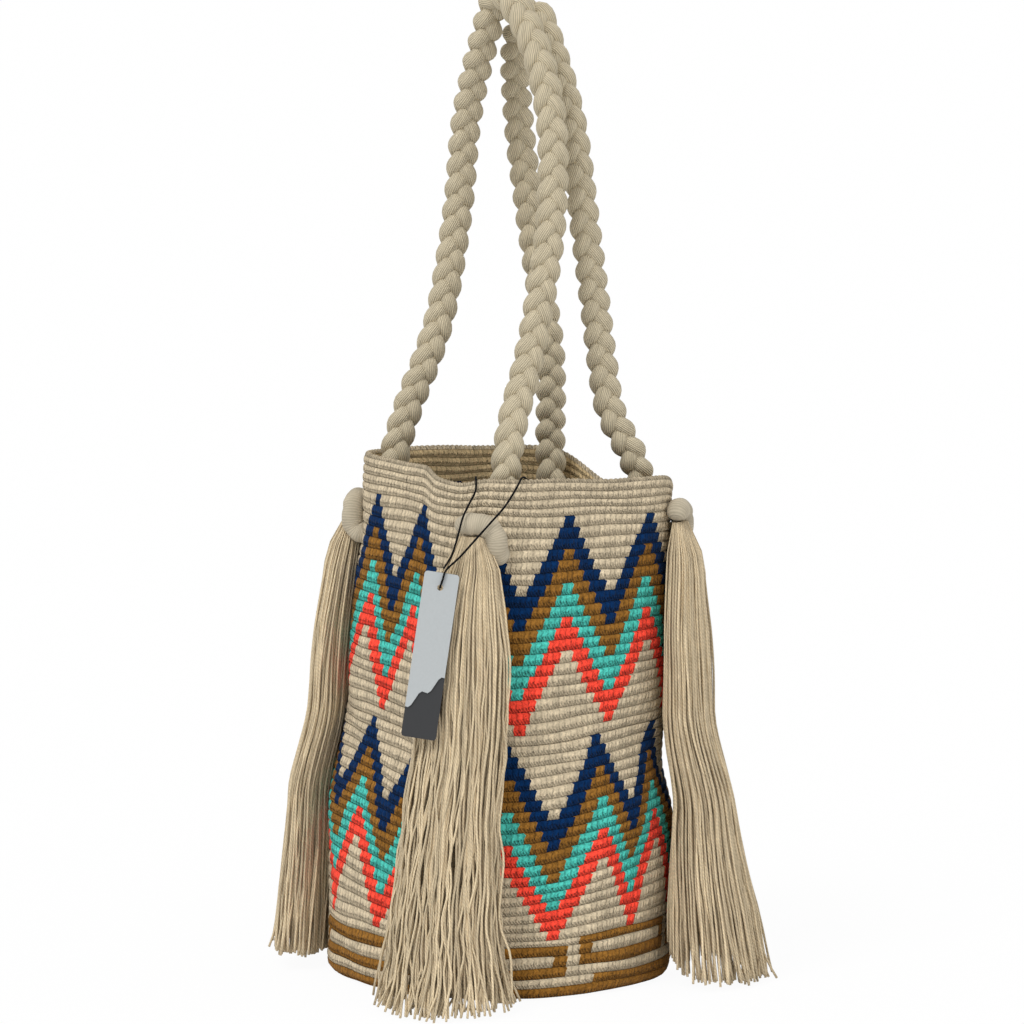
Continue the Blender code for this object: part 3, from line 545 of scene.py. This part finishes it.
def stitch_yarns():
    """Yarn of each stitch, course by course from the base, and last the edge under the first course."""
    yarns = np.full((COURSES + 1, STITCHES), BEIGE)
    stitch = np.arange(STITCHES)
    for bottom, shift in ((LOWER_BAND, LOWER_SHIFT), (UPPER_BAND, UPPER_SHIFT)):
        swing = (stitch - shift) % REPEAT
        swing = np.minimum(swing, REPEAT - 1 - swing)
        for down in range(BAND_COURSES):
            depth = down - swing
            inside = (depth >= 0) & (depth < STRIPE * CORAL)
            yarns[bottom + BAND_COURSES - 1 - down][inside] = (NAVY + depth // STRIPE)[inside]
    yarns[0] = TAN
    yarns[EDGE_ROW] = TAN
    for i, (start, stop) in enumerate(zip(FRET_STARTS, FRET_STARTS[1:])):
        high = i < HIGH_MOTIFS
        top = HIGH_TOP if high else LOW_TOP
        motif = np.arange(start, stop - FRET_GAP) % STITCHES
        slot = np.arange(start + FRET_GAP, stop - 2 * FRET_GAP) % STITCHES
        yarns[top - 2:top + 1, motif] = TAN
        yarns[top - 1][slot] = BEIGE
        if high:
            tan_start = start + (TAN_INSET if i == 0 else -FRET_GAP)
            coral_start = start + (CORAL_INSET if i == 0 else -FRET_GAP)
            yarns[1][np.arange(tan_start, stop) % STITCHES] = TAN
            yarns[EDGE_ROW][np.arange(coral_start, stop) % STITCHES] = CORAL
    return yarns


def stitch_shifts(places):
    """How far each stitch lies from its even place: pairs (stitch, place) joined and smoothed."""
    stitch, place = np.array(places, float).T
    wide = np.arange(-NEIGHBOURS, STITCHES + NEIGHBOURS)
    shift = np.interp(wide, stitch, place - stitch, period=STITCHES)
    weights = np.hanning(2 * NEIGHBOURS + 3)[1:-1]
    return np.convolve(shift, weights / weights.sum(), "valid")


def stitch_angle(share, square):
    """Angle at shares of the way round the wall: stitches lie evenly along the rounded square."""
    theta = np.linspace(0, 2 * math.pi, ANGLE_SAMPLES)
    radius = 1 + square * np.cos(4 * (theta - QUARTER / 2))
    rise = -4 * square * np.sin(4 * (theta - QUARTER / 2))
    speed = np.hypot(radius, rise)
    way = np.concatenate([[0], np.cumsum((speed[1:] + speed[:-1]) / 2)])
    return np.interp(np.mod(share, 1.0), way / way[-1], theta)


def ripple(angle, level):
    """Slight hand-made unevenness of the fabric, in metres."""
    return sum(size * np.sin(turns * angle + climb * level + start) for size, turns, climb, start in RIPPLES)


def level_at(course, step):
    """Height in the flat chart at a share of the way up a course."""
    return EDGES[course] + (EDGES[course + 1] - EDGES[course]) * step


def edge_offset(level):
    """How far the rounded edge of the base draws the wall in."""
    inset = np.clip(EDGE_ROUND - level, 0, EDGE_ROUND)
    return math.sqrt(EDGE_ROUND ** 2 - inset ** 2) - EDGE_ROUND


yarn_chart = stitch_yarns()
lower_pull, upper_pull = stitch_shifts(LOWER_PLACES), stitch_shifts(UPPER_PLACES)


def wall_row(course, step, relief, gap, per_stitch, offset, facing):
    """One ring of points: a step within a course, with the bumps of its stitches and the gaps between them.
    They face outwards for 1 and inwards for -1, and for 0 there are none."""
    level = level_at(course, step)
    fine = np.arange(STITCHES * per_stitch) / per_stitch
    gaps = gap * np.interp(fine % 1.0, STITCH_STEPS, STITCH_GAPS)
    jitter = np.random.default_rng(COURSE_SEED + course).normal(0, 1, (2, STITCHES)).repeat(per_stitch, 1)
    blend = smooth_step((level / WALL_HEIGHT - PLACE_BLEND) / PLACE_BLEND_WIDTH)
    drawn = lower_pull + (upper_pull - lower_pull) * blend
    pull = np.interp(fine, np.arange(STITCHES), drawn, period=STITCHES)
    lean = STITCH_LEAN * (step ** 3 - LEAN_MEAN) + SLIP * jitter[0] * relief
    angle = stitch_angle((fine + lean + pull) / STITCHES, squareness(level))
    bump = RELIEF * (relief * (1 + SWELL * jitter[1]) - gaps * relief - SEAT)
    waved = level + COURSE_WAVE * np.sin(COURSE_WAVES_ROUND * angle + course)
    return wall_points(angle, waved, offset + facing * bump + ripple(angle, level))


def outer_rows(first, last):
    """Rings of the outer face from one course to another, with the course and height chart of each."""
    rows, course, chart = [], [], []
    for k in range(first, last):
        for step, relief, gap in zip(COURSE_STEPS, COURSE_RELIEF, COURSE_GAPS):
            rows.append(wall_row(k, step, relief, gap, OUTER_POINTS, edge_offset(level_at(k, step)), 1))
            course.append(EDGE_ROW if k == 0 and step == 0.0 else k)
            chart.append(k + step)
    return rows, course, chart


def base_rings(outer, height):
    """Rings of the crocheted base, from its outer ring inwards."""
    middle = outer.mean(0)
    rings = []
    for i in range(BASE_RINGS):
        ring = middle + (outer - middle) * max(1 - i / (BASE_RINGS - 1), BASE_EYE)
        ring[:, 2] = height + (BASE_RELIEF if i % 2 else 0.0)
        rings.append(ring)
    return rings


def grid_piece(name, rows, course, chart, materials, yarns):
    """Mesh of rings round the bag: course says which course the faces above each ring are in, and chart
    gives each ring's height in courses."""
    columns = len(rows[0])
    per_stitch = columns // STITCHES
    stitch = np.arange(columns) // per_stitch
    course = np.array(course[:len(rows) - 1])[:, None]
    which = np.random.default_rng(STITCH_SEED).random((COURSES + 2, STITCHES))[course, stitch]
    chart = np.array(chart)[:, None] * np.ones(columns)
    left = np.arange(columns) / per_stitch * np.ones(which.shape)
    coords = face_coords(left, left + 1 / per_stitch, chart[:-1], chart[1:], which)
    piece = add_mesh(name, np.concatenate(rows), ring_faces(1, len(rows), columns), np.zeros((0, 4), int),
                     coords, materials, yarns[course, stitch].ravel())
    dress(piece, "crochet", "crochet_body")
    return piece


rows, course, chart = outer_rows(0, UPPER_BAND - 1)
rows.append(wall_row(UPPER_BAND - 1, 0.0, 0.0, 0.0, OUTER_POINTS, 0.0, 1))
chart.append(UPPER_BAND - 1)
grid_piece("crochet_wall_lower", rows, course, chart, crochet, yarn_chart)

rows, course, chart = outer_rows(UPPER_BAND - 1, COURSES)
fine = np.arange(STITCHES * OUTER_POINTS) / OUTER_POINTS
for i in range(RIM_STEPS + 1):
    turn = math.pi * i / RIM_STEPS
    offset = (math.cos(turn) - 1) * THICKNESS / 2
    ring = wall_row(COURSES - 1, 1.0, RIM_RELIEF * math.sin(turn), 0.0, OUTER_POINTS, offset, 0)
    saw = np.abs(((fine + CHAIN_SLANT * i / RIM_STEPS) % 1.0) - 0.5) - 0.25
    ring[:, 2] += RIM_CROWN * math.sin(turn) - CHAIN_RELIEF * saw * math.sin(turn)
    rows.append(ring)
    course.append(COURSES - 1)
    chart.append(COURSES + 0.5 * i / RIM_STEPS)
grid_piece("crochet_wall_upper", rows, course, chart, crochet, yarn_chart)

rows, course, chart = [], [], []
for k in range(COURSES - 1, -1, -1):
    for step, relief in INSIDE_STEPS:
        if level_at(k, step) <= THICKNESS:
            continue
        rows.append(wall_row(k, step, relief, INSIDE_GAP, INNER_POINTS, -THICKNESS, -1))
        course.append(k)
        chart.append(k + step)
rows += base_rings(rows[-1], THICKNESS)
course += [COURSES - 1] * BASE_RINGS
chart += [-0.5 * i for i in range(BASE_RINGS)]
inside = grid_piece("crochet_inside", rows, course, chart, crochet_inside, yarn_chart)
inside.data.flip_normals()

rows = base_rings(wall_row(0, 0.0, 0.0, 0.0, 1, -EDGE_ROUND, 1), 0.0)
course = [min(i // 2, 1) for i in range(BASE_RINGS)]
chart = [-0.5 * i for i in range(BASE_RINGS)]
base_yarns = np.full((COURSES, STITCHES), BEIGE)
base_yarns[0] = CORAL
underside = grid_piece("crochet_base", rows, course, chart, crochet, base_yarns)
underside.data.flip_normals()

# Handles: three plump strands of parallel yarns, braided. Points up each leg, and the tops, are measured from
# the centre of the rim

LEFT_LEG = [(-0.0550, -0.0505, 0.009), (-0.0535, -0.0415, 0.038), (-0.0490, -0.0315, 0.066),
            (-0.0495, -0.0205, 0.096), (-0.0500, -0.0095, 0.151), (-0.0425, -0.0080, 0.206),
            (-0.0240, -0.0080, 0.252)]
FRONT_LEG = [(0.0555, -0.0470, 0.009), (0.0535, -0.0405, 0.038), (0.0490, -0.0285, 0.066),
             (0.0495, -0.0213, 0.096), (0.0500, -0.0120, 0.151), (0.0455, -0.0085, 0.206),
             (0.0260, -0.0080, 0.252)]
RIGHT_LEG = [(0.0490, 0.0475, 0.009), (0.0450, 0.0335, 0.038), (0.0420, 0.0295, 0.066),
             (0.0420, 0.0250, 0.096), (0.0420, 0.0165, 0.151), (0.0335, 0.0130, 0.206),
             (0.0130, 0.0118, 0.250)]
REAR_LEG = [(-0.0500, 0.0560, 0.009), (-0.0450, 0.0530, 0.038), (-0.0420, 0.0500, 0.066),
            (-0.0420, 0.0450, 0.096), (-0.0440, 0.0368, 0.151), (-0.0420, 0.0275, 0.206),
            (-0.0240, 0.0145, 0.250)]
FRONT_TOP, REAR_TOP = (-0.0060, -0.0080, 0.279), (-0.0030, 0.0125, 0.266)
BRAID_PERIOD, BRAID_STEPS, BRAID_FINE = 0.0388, 6, 4
BRAID_PHASE, BRAID_FACE = math.radians(30), math.radians(64)
BRAID_HALF_WIDTH, BRAID_HALF_DEPTH, BRAID_STRAIGHTEN = 0.0036, 0.0043, 0.09
STRAND_EDGE_RADIUS, STRAND_MIDDLE_RADIUS = 0.0052, 0.0044
STRAND_SIDES, STRAND_FIBRES, FIBRE_PITCH = 20, 27, 0.25
# Strands: colour, painted shade in the troughs between their plies, and bump depth
STRAND_COLOUR, STRAND_PAINTED_SHADE, STRAND_DEPTH = (0.49, 0.425, 0.30), 0.60, 0.0007
LEG_INSET, FOOT_DROP = 0.0162, 0.0042
KNOT_SIDE = 0.0065

handle_yarn = yarn_material("handle_yarn_fine", STRAND_COLOUR, STRAND_FIBRES, FIBRE_PITCH, STRAND_PAINTED_SHADE,
                            STRAND_DEPTH)


def handle_line(ends):
    """Centre line of a handle over its arch, in fine even steps."""
    rim = axis_point(np.float64(WALL_HEIGHT)) + UP * WALL_HEIGHT
    (root_a, leg_a), top, (root_b, leg_b) = ends
    knots = ([root_a - UP * FOOT_DROP, root_a] + [rim + np.array(p) for p in leg_a] + [rim + np.array(top)]
             + [rim + np.array(p) for p in leg_b][::-1] + [root_b, root_b - UP * FOOT_DROP])
    line = spline_points(knots)
    count = round(path_length(line) / (BRAID_PERIOD / BRAID_STEPS))
    return resample(line, count * BRAID_FINE)


def strand_path(line, phase):
    """Centre line and radius of one strand: it swells at the edges of the braid."""
    along = np.gradient(line, axis=0)
    along /= np.linalg.norm(along, axis=1, keepdims=True)
    flat = np.array([math.cos(BRAID_FACE), math.sin(BRAID_FACE), 0.0])
    wide = flat - along * (along @ flat)[:, None]
    wide /= np.linalg.norm(wide, axis=1, keepdims=True)
    deep = np.cross(along, wide)
    turn = 2 * math.pi * np.arange(len(line)) / (BRAID_STEPS * BRAID_FINE) + phase
    sideways = np.sin(turn) - BRAID_STRAIGHTEN * np.sin(3 * turn)
    path = (line + wide * (BRAID_HALF_WIDTH * sideways)[:, None]
            + deep * (BRAID_HALF_DEPTH * np.sin(2 * turn))[:, None])
    radius = STRAND_MIDDLE_RADIUS + (STRAND_EDGE_RADIUS - STRAND_MIDDLE_RADIUS) * np.sin(turn) ** 2
    return path, radius


roots = {}
for corner, angle, side, _, _ in CORNERS:
    point, tangent, normal = corner_frame(angle, KNOT_HEIGHT)
    roots[corner] = point + tangent * side * KNOT_SIDE - normal * LEG_INSET
handles = [("front", [(roots["left"], LEFT_LEG), FRONT_TOP, (roots["front"], FRONT_LEG)]),
           ("rear", [(roots["rear"], REAR_LEG), REAR_TOP, (roots["right"], RIGHT_LEG)])]
for handle, ends in handles:
    line = handle_line(ends)
    for third, letter in enumerate("abc"):
        path, radius = strand_path(line, BRAID_PHASE + 2 * math.pi * third / 3)
        piece = tubes(f"{handle}_braid_{letter}", path[None], radius[None], STRAND_SIDES, handle_yarn)
        dress(piece, "handle_yarn", f"{handle}_handle_strand_{letter}")

# Knots: the end of a handle wound with yarn

KNOT_RADIUS, KNOT_LOOP, KNOT_BEND, KNOT_STAND_OFF = 0.0063, 0.0105, 0.0070, 0.0010
KNOT_TAIL_RADIUS, KNOT_TAIL_RUN, KNOT_TAIL_TURN, KNOT_STEM = 0.0075, 0.0035, math.radians(66), 0.0020
KNOT_PUFF, KNOT_PRESS, KNOT_RINGS, KNOT_SIDES = 0.0002, 0.0016, 72, 28
# Where the end starts to taper, over what share and how far, and the slow waves of the winding
TAPER_START, TAPER_RUN, TAPER = 0.92, 0.08, 0.55
KNOT_WAVES = ((0.03, 38), (0.02, 67))
# Winding: pitch, colour, painted shade in the troughs between its wraps, and bump depth
WRAP_PITCH, WRAP_COLOUR, WRAP_PAINTED_SHADE, WRAP_DEPTH = 0.0011, (0.415, 0.362, 0.270), 0.22, 0.0003

wrap_yarn = yarn_material("knot_yarn_fine", WRAP_COLOUR, 1, WRAP_PITCH, WRAP_PAINTED_SHADE, WRAP_DEPTH)


def knot_line(angle, side):
    """Centre line of a knot: down inside the wall, out through its hole, up and over, and down again."""
    point, tangent, normal = corner_frame(angle, KNOT_HEIGHT)
    across = tangent * side
    out = normal * (KNOT_RADIUS + KNOT_STAND_OFF - KNOT_PRESS)
    bend_level = point + across * KNOT_SIDE - UP * KNOT_LOOP
    inner = bend_level - normal * (LEG_INSET - KNOT_BEND)
    outer = bend_level + out - normal * KNOT_BEND
    loop_centre = bend_level + out - across * KNOT_LOOP
    tail_centre = loop_centre - across * KNOT_TAIL_RUN + UP * (KNOT_LOOP - KNOT_TAIL_RADIUS)
    points = [inner - normal * KNOT_BEND + UP * KNOT_STEM]
    points += arc(inner, -normal * KNOT_BEND, -UP * KNOT_BEND, QUARTER, 3)
    points += arc(outer, -UP * KNOT_BEND, normal * KNOT_BEND, QUARTER, 4)
    points += arc(loop_centre, across * KNOT_LOOP, UP * KNOT_LOOP, QUARTER, 6)[1:]
    points += arc(tail_centre, UP * KNOT_TAIL_RADIUS, -across * KNOT_TAIL_RADIUS, KNOT_TAIL_TURN, 4)
    return spline_points(points)


share = np.arange(KNOT_RINGS + 1) / KNOT_RINGS
taper = 1 - TAPER * end_rise(share, TAPER_START, TAPER_RUN)
uneven = sum((size * np.sin(cycles * share) for size, cycles in KNOT_WAVES), 1.0)
radius = (KNOT_RADIUS + KNOT_PUFF) * taper * uneven
for corner, angle, side, _, _ in CORNERS:
    line = resample(knot_line(angle, side), KNOT_RINGS)
    piece = tubes("knot_wrap_" + corner, line[None], radius[None], KNOT_SIDES, wrap_yarn)
    dress(piece, "handle_yarn", "knot_" + corner)

# Tassels: loose plied yarns. Down a tassel each row gives the drop from the arch of its knot, the shift to
# the side, and half of its width and depth

TASSEL_SECTIONS = [(0.0007, -0.0020, 0.0085, 0.0044), (0.0042, -0.0020, 0.0120, 0.0060),
                   (0.0107, -0.0010, 0.0148, 0.0076), (0.0187, -0.0010, 0.0172, 0.0090),
                   (0.0277, -0.0015, 0.0196, 0.0100), (0.0647, -0.0022, 0.0279, 0.0110),
                   (0.1187, -0.0010, 0.0276, 0.0112), (0.1687, -0.0018, 0.0303, 0.0115),
                   (0.2237, -0.0027, 0.0352, 0.0122)]
TASSEL_FOOT = (-0.0005, 0.0425, 0.0118)
TASSEL_START = 0.0007
TASSEL_WALL_GAP, TASSEL_FOLD = 0.0005, 0.06
TASSEL_RINGS, TASSEL_SIDES, RING_CROWDING = 36, 5, 0.75
YARN_RADIUS, YARN_SEAT, LEAST_SPREAD = 0.00070, 1.1, 0.0008

# Layers: yarns in each, and how far out they lie. Then how unevenly they are placed, and the fat yarns inside
# that fill the tassel
LAYERS = [(112, 0.97), (106, 0.89), (30, 0.70)]
TURN_JITTER, DEPTH_JITTER, EVEN_OUT = 0.35, (-0.12, 0.05), 0.18
CORE_YARNS, CORE_RADIUS, CORE_SHARE, CORE_SPREAD, CORE_REACH = 7, 0.0052, 0.38, 0.60, 0.93

# Ends: how much shorter the yarns at the sides are, and how ragged all are. For each corner: how far the
# outer ends splay, and how much shorter the outer and the inner ones are
SIDE_LIFT, RAGGED = 0.012, 0.014
FOOT_FORMS = {"left": (0.0, 0.028, 0.0), "front": (0.019, 0.0, 0.0), "right": (-0.002, 0.0, 0.07),
              "rear": (0.0, 0.028, 0.0)}
SPLAY_START, SPLAY_RUN = 0.84, 0.16
CURL_START, CURL_RUN, CURL_SIZE = 0.86, 0.14, 0.0034
FOOT_SWELL, GATHER_DROP, GATHER_LEAST = 0.06, 0.03, 0.55

# Waves of the yarns: locks that sway together, yarns that sway alone, and their stir in and out
LOCKS, LOCK_GROWTH = ((3, 0.0008), (7, 0.0005)), 1.3
SWAYS, SWAY_GROWTH = ((1.3, 0.0018), (2.7, 0.0013), (5.3, 0.0008), (10.0, 0.0005)), 0.8
STIR, STIR_CYCLES = 0.0005, 1.7
HEAD_RELIEF, HEAD_LIMIT, HEAD_DROP, HEAD_FADE = 0.0009, 1.5, 0.010, 0.4
# Tassel yarn: colour, plies and pitch, painted shade in the troughs between plies, and bump depth
PLY_COLOUR, PLIES, PLY_PITCH, PLY_PAINTED_SHADE, PLY_DEPTH = (0.565, 0.46, 0.305), 2, 0.0046, 0.24, 0.0002
PLY_VARIETY = 0.44

tassel_yarn = yarn_material("tassel_yarn_fine", PLY_COLOUR, PLIES, PLY_PITCH, PLY_PAINTED_SHADE, PLY_DEPTH,
                            variety=PLY_VARIETY)


def tassel_piece(corner, angle, side, fan, floor_gap, seed):
    """Yarns that leave the arch of the knot together, hang in locks and end unevenly near the floor."""
    rng = np.random.default_rng(seed)
    arch = KNOT_HEIGHT - KNOT_RADIUS
    foot = arch - floor_gap
    sections = np.array(TASSEL_SECTIONS + [(foot, *TASSEL_FOOT)])
    count = sum(number for number, _ in LAYERS) + CORE_YARNS
    phi, rho = [], []
    for number, share in LAYERS:
        even = np.arange(number) + rng.uniform(-TURN_JITTER, TURN_JITTER, number)
        phi.append(even * 2 * math.pi / number)
        rho.append(share + rng.uniform(*DEPTH_JITTER, number))
    phi.append(np.linspace(0, math.pi, CORE_YARNS))
    rho.append(np.zeros(CORE_YARNS))
    phi, rho = np.concatenate(phi), np.concatenate(rho)
    core = np.arange(count) >= count - CORE_YARNS
    loose = ~core[:, None]
    phi = phi + np.where(core, 0.0, EVEN_OUT * np.sin(2 * phi))
    wide_place = np.where(core, CORE_SPREAD * np.cos(phi), rho * np.cos(phi))
    deep_place = np.where(core, 0.0, rho * np.sin(phi))
    splay, outer_lift, inner_lift = FOOT_FORMS[corner]
    lift = (SIDE_LIFT * wide_place ** 4 + RAGGED * rng.random(count)
            + outer_lift * deep_place.clip(0) ** 4 + inner_lift * (-deep_place).clip(0) ** 2)
    reach = foot * np.where(core, CORE_REACH, 1 - lift)
    share = np.linspace(0, 1, TASSEL_RINGS) ** RING_CROWDING
    drop = TASSEL_START + (reach[:, None] - TASSEL_START) * share
    shift, half_width, half_depth = (np.interp(drop, sections[:, 0], sections[:, k]) for k in (1, 2, 3))
    down = drop / foot
    half_depth = half_depth * (1 + fan * down ** 2)
    sway = 0.0
    for turns, size in LOCKS:
        sway = sway + np.sin(turns * phi + rng.uniform(0, 6))[:, None] * size
    sway = sway * down ** LOCK_GROWTH
    for cycles, size in SWAYS:
        start = rng.uniform(0, 2 * math.pi, count)[:, None]
        own = size * rng.normal(0, 1, count)[:, None]
        sway = sway + own * np.sin(2 * math.pi * cycles * down + start) * down ** SWAY_GROWTH
    curl = end_rise(down, CURL_START, CURL_RUN) * rng.normal(0, CURL_SIZE, (2, count, 1))
    inset = YARN_RADIUS * YARN_SEAT
    across = (half_width - inset).clip(LEAST_SPREAD) * wide_place[:, None] + (sway + curl[0]) * loose
    stir = STIR * rng.normal(0, 1, count)[:, None] * np.sin(2 * math.pi * STIR_CYCLES * down + phi[:, None])
    perch = HEAD_RELIEF * rng.normal(0, 1, count).clip(-HEAD_LIMIT, HEAD_LIMIT)[:, None]
    stir = stir + perch * smooth_step(drop / HEAD_DROP) * np.exp(-(down / HEAD_FADE) ** 2)
    outwards = (half_depth - inset).clip(LEAST_SPREAD) * deep_place[:, None] + stir * loose
    splay = splay * end_rise(down, SPLAY_START, SPLAY_RUN)
    outwards = outwards + (splay + curl[1].clip(0)) * deep_place[:, None].clip(0)
    z = arch - drop
    heading = angle + side * (shift + KNOT_SIDE - KNOT_LOOP) / plain_radius(angle, z)
    normal = np.stack([np.cos(heading), np.sin(heading), np.zeros_like(heading)], -1)
    tangent = np.stack([-np.sin(heading), np.cos(heading), np.zeros_like(heading)], -1)
    out = np.maximum(TASSEL_WALL_GAP + half_depth * (1 + TASSEL_FOLD), KNOT_STAND_OFF + KNOT_RADIUS)
    distance = plain_radius(heading, z) + out + outwards
    paths = axis_point(z) + normal * distance[..., None] + tangent * across[..., None]
    paths[..., 2] = z
    gather = np.clip(drop / GATHER_DROP, GATHER_LEAST, 1.0) * (1 + FOOT_SWELL * down ** 3)
    radii = np.where(core[:, None], np.minimum(CORE_RADIUS, half_depth * CORE_SHARE), YARN_RADIUS * gather)
    piece = tubes("tassel_yarns_" + corner, paths, radii, TASSEL_SIDES, tassel_yarn)
    dress(piece, "tassel_yarn", "tassel_" + corner)


for i, (corner, angle, side, fan, floor_gap) in enumerate(CORNERS):
    tassel_piece(corner, angle, side, fan, floor_gap, TASSEL_SEED + i)

# Stage: pale floor, white surround and soft light

WHITE = (1.0, 1.0, 1.0, 1.0)
FLOOR_REACH, PAPER_COLOUR, PAPER_ROUGHNESS, PAPER_GLOW = 25, (0.90, 0.90, 0.90, 1.0), 0.9, 0.95
PAPER_GLOSS = 0.5
SURROUND_LIGHT = 0.62
# Lamps: degrees round from the camera, degrees up, strength, and how wide each one looks in degrees
LAMPS = [("key", -38, 50, 1.5, 25), ("fill", 40, 30, 0.5, 60)]


def seen_rays(tree):
    """1 for the rays that show the background: from the camera, off gloss and through glass."""
    rays = make_node(tree, "LightPath").outputs
    mirrored = maths(tree, "MAXIMUM", rays["Is Camera Ray"], rays["Is Glossy Ray"])
    return maths(tree, "MAXIMUM", mirrored, rays["Is Transmission Ray"])


floor_mesh = bpy.data.meshes.new("floor")
floor_mesh.from_pydata([(-FLOOR_REACH, -FLOOR_REACH, 0), (FLOOR_REACH, -FLOOR_REACH, 0),
                        (FLOOR_REACH, FLOOR_REACH, 0), (-FLOOR_REACH, FLOOR_REACH, 0)], [], [(0, 1, 2, 3)])
floor = add_object("floor", floor_mesh)
paper, tree, shader = new_material("white_paper", PAPER_ROUGHNESS, PAPER_GLOSS)
shader.inputs["Base Color"].default_value = PAPER_COLOUR
seen = seen_rays(tree)
glow = make_node(tree, "Emission", {"Color": WHITE, "Strength": 1.0})
blend = make_node(tree, "MixShader", [maths(tree, "MULTIPLY", seen, PAPER_GLOW), shader.outputs[0],
                                      glow.outputs[0]])
tree.links.new(blend.outputs[0], tree.nodes["Material Output"].inputs["Surface"])
floor_mesh.materials.append(paper)

world = bpy.data.worlds.new("studio")
bpy.context.scene.world = world
world.use_nodes = True
tree = world.node_tree
tree.nodes.clear()
seen = seen_rays(tree)
soft = make_node(tree, "Background", {"Color": WHITE, "Strength": SURROUND_LIGHT})
white = make_node(tree, "Background", {"Color": WHITE, "Strength": 1.0})
mix = make_node(tree, "MixShader", [seen, soft.outputs[0], white.outputs[0]])
make_node(tree, "OutputWorld", [mix.outputs[0]])

for name, turn, lift, strength, spread in LAMPS:
    lamp = bpy.data.lights.new(name, "SUN")
    lamp.energy = strength
    lamp.angle = math.radians(spread)
    light = add_object(name, lamp)
    light.rotation_euler = (QUARTER - math.radians(lift), 0.0, VIEW_ANGLE + math.radians(turn))

bpy.context.scene.view_settings.view_transform = "Standard"
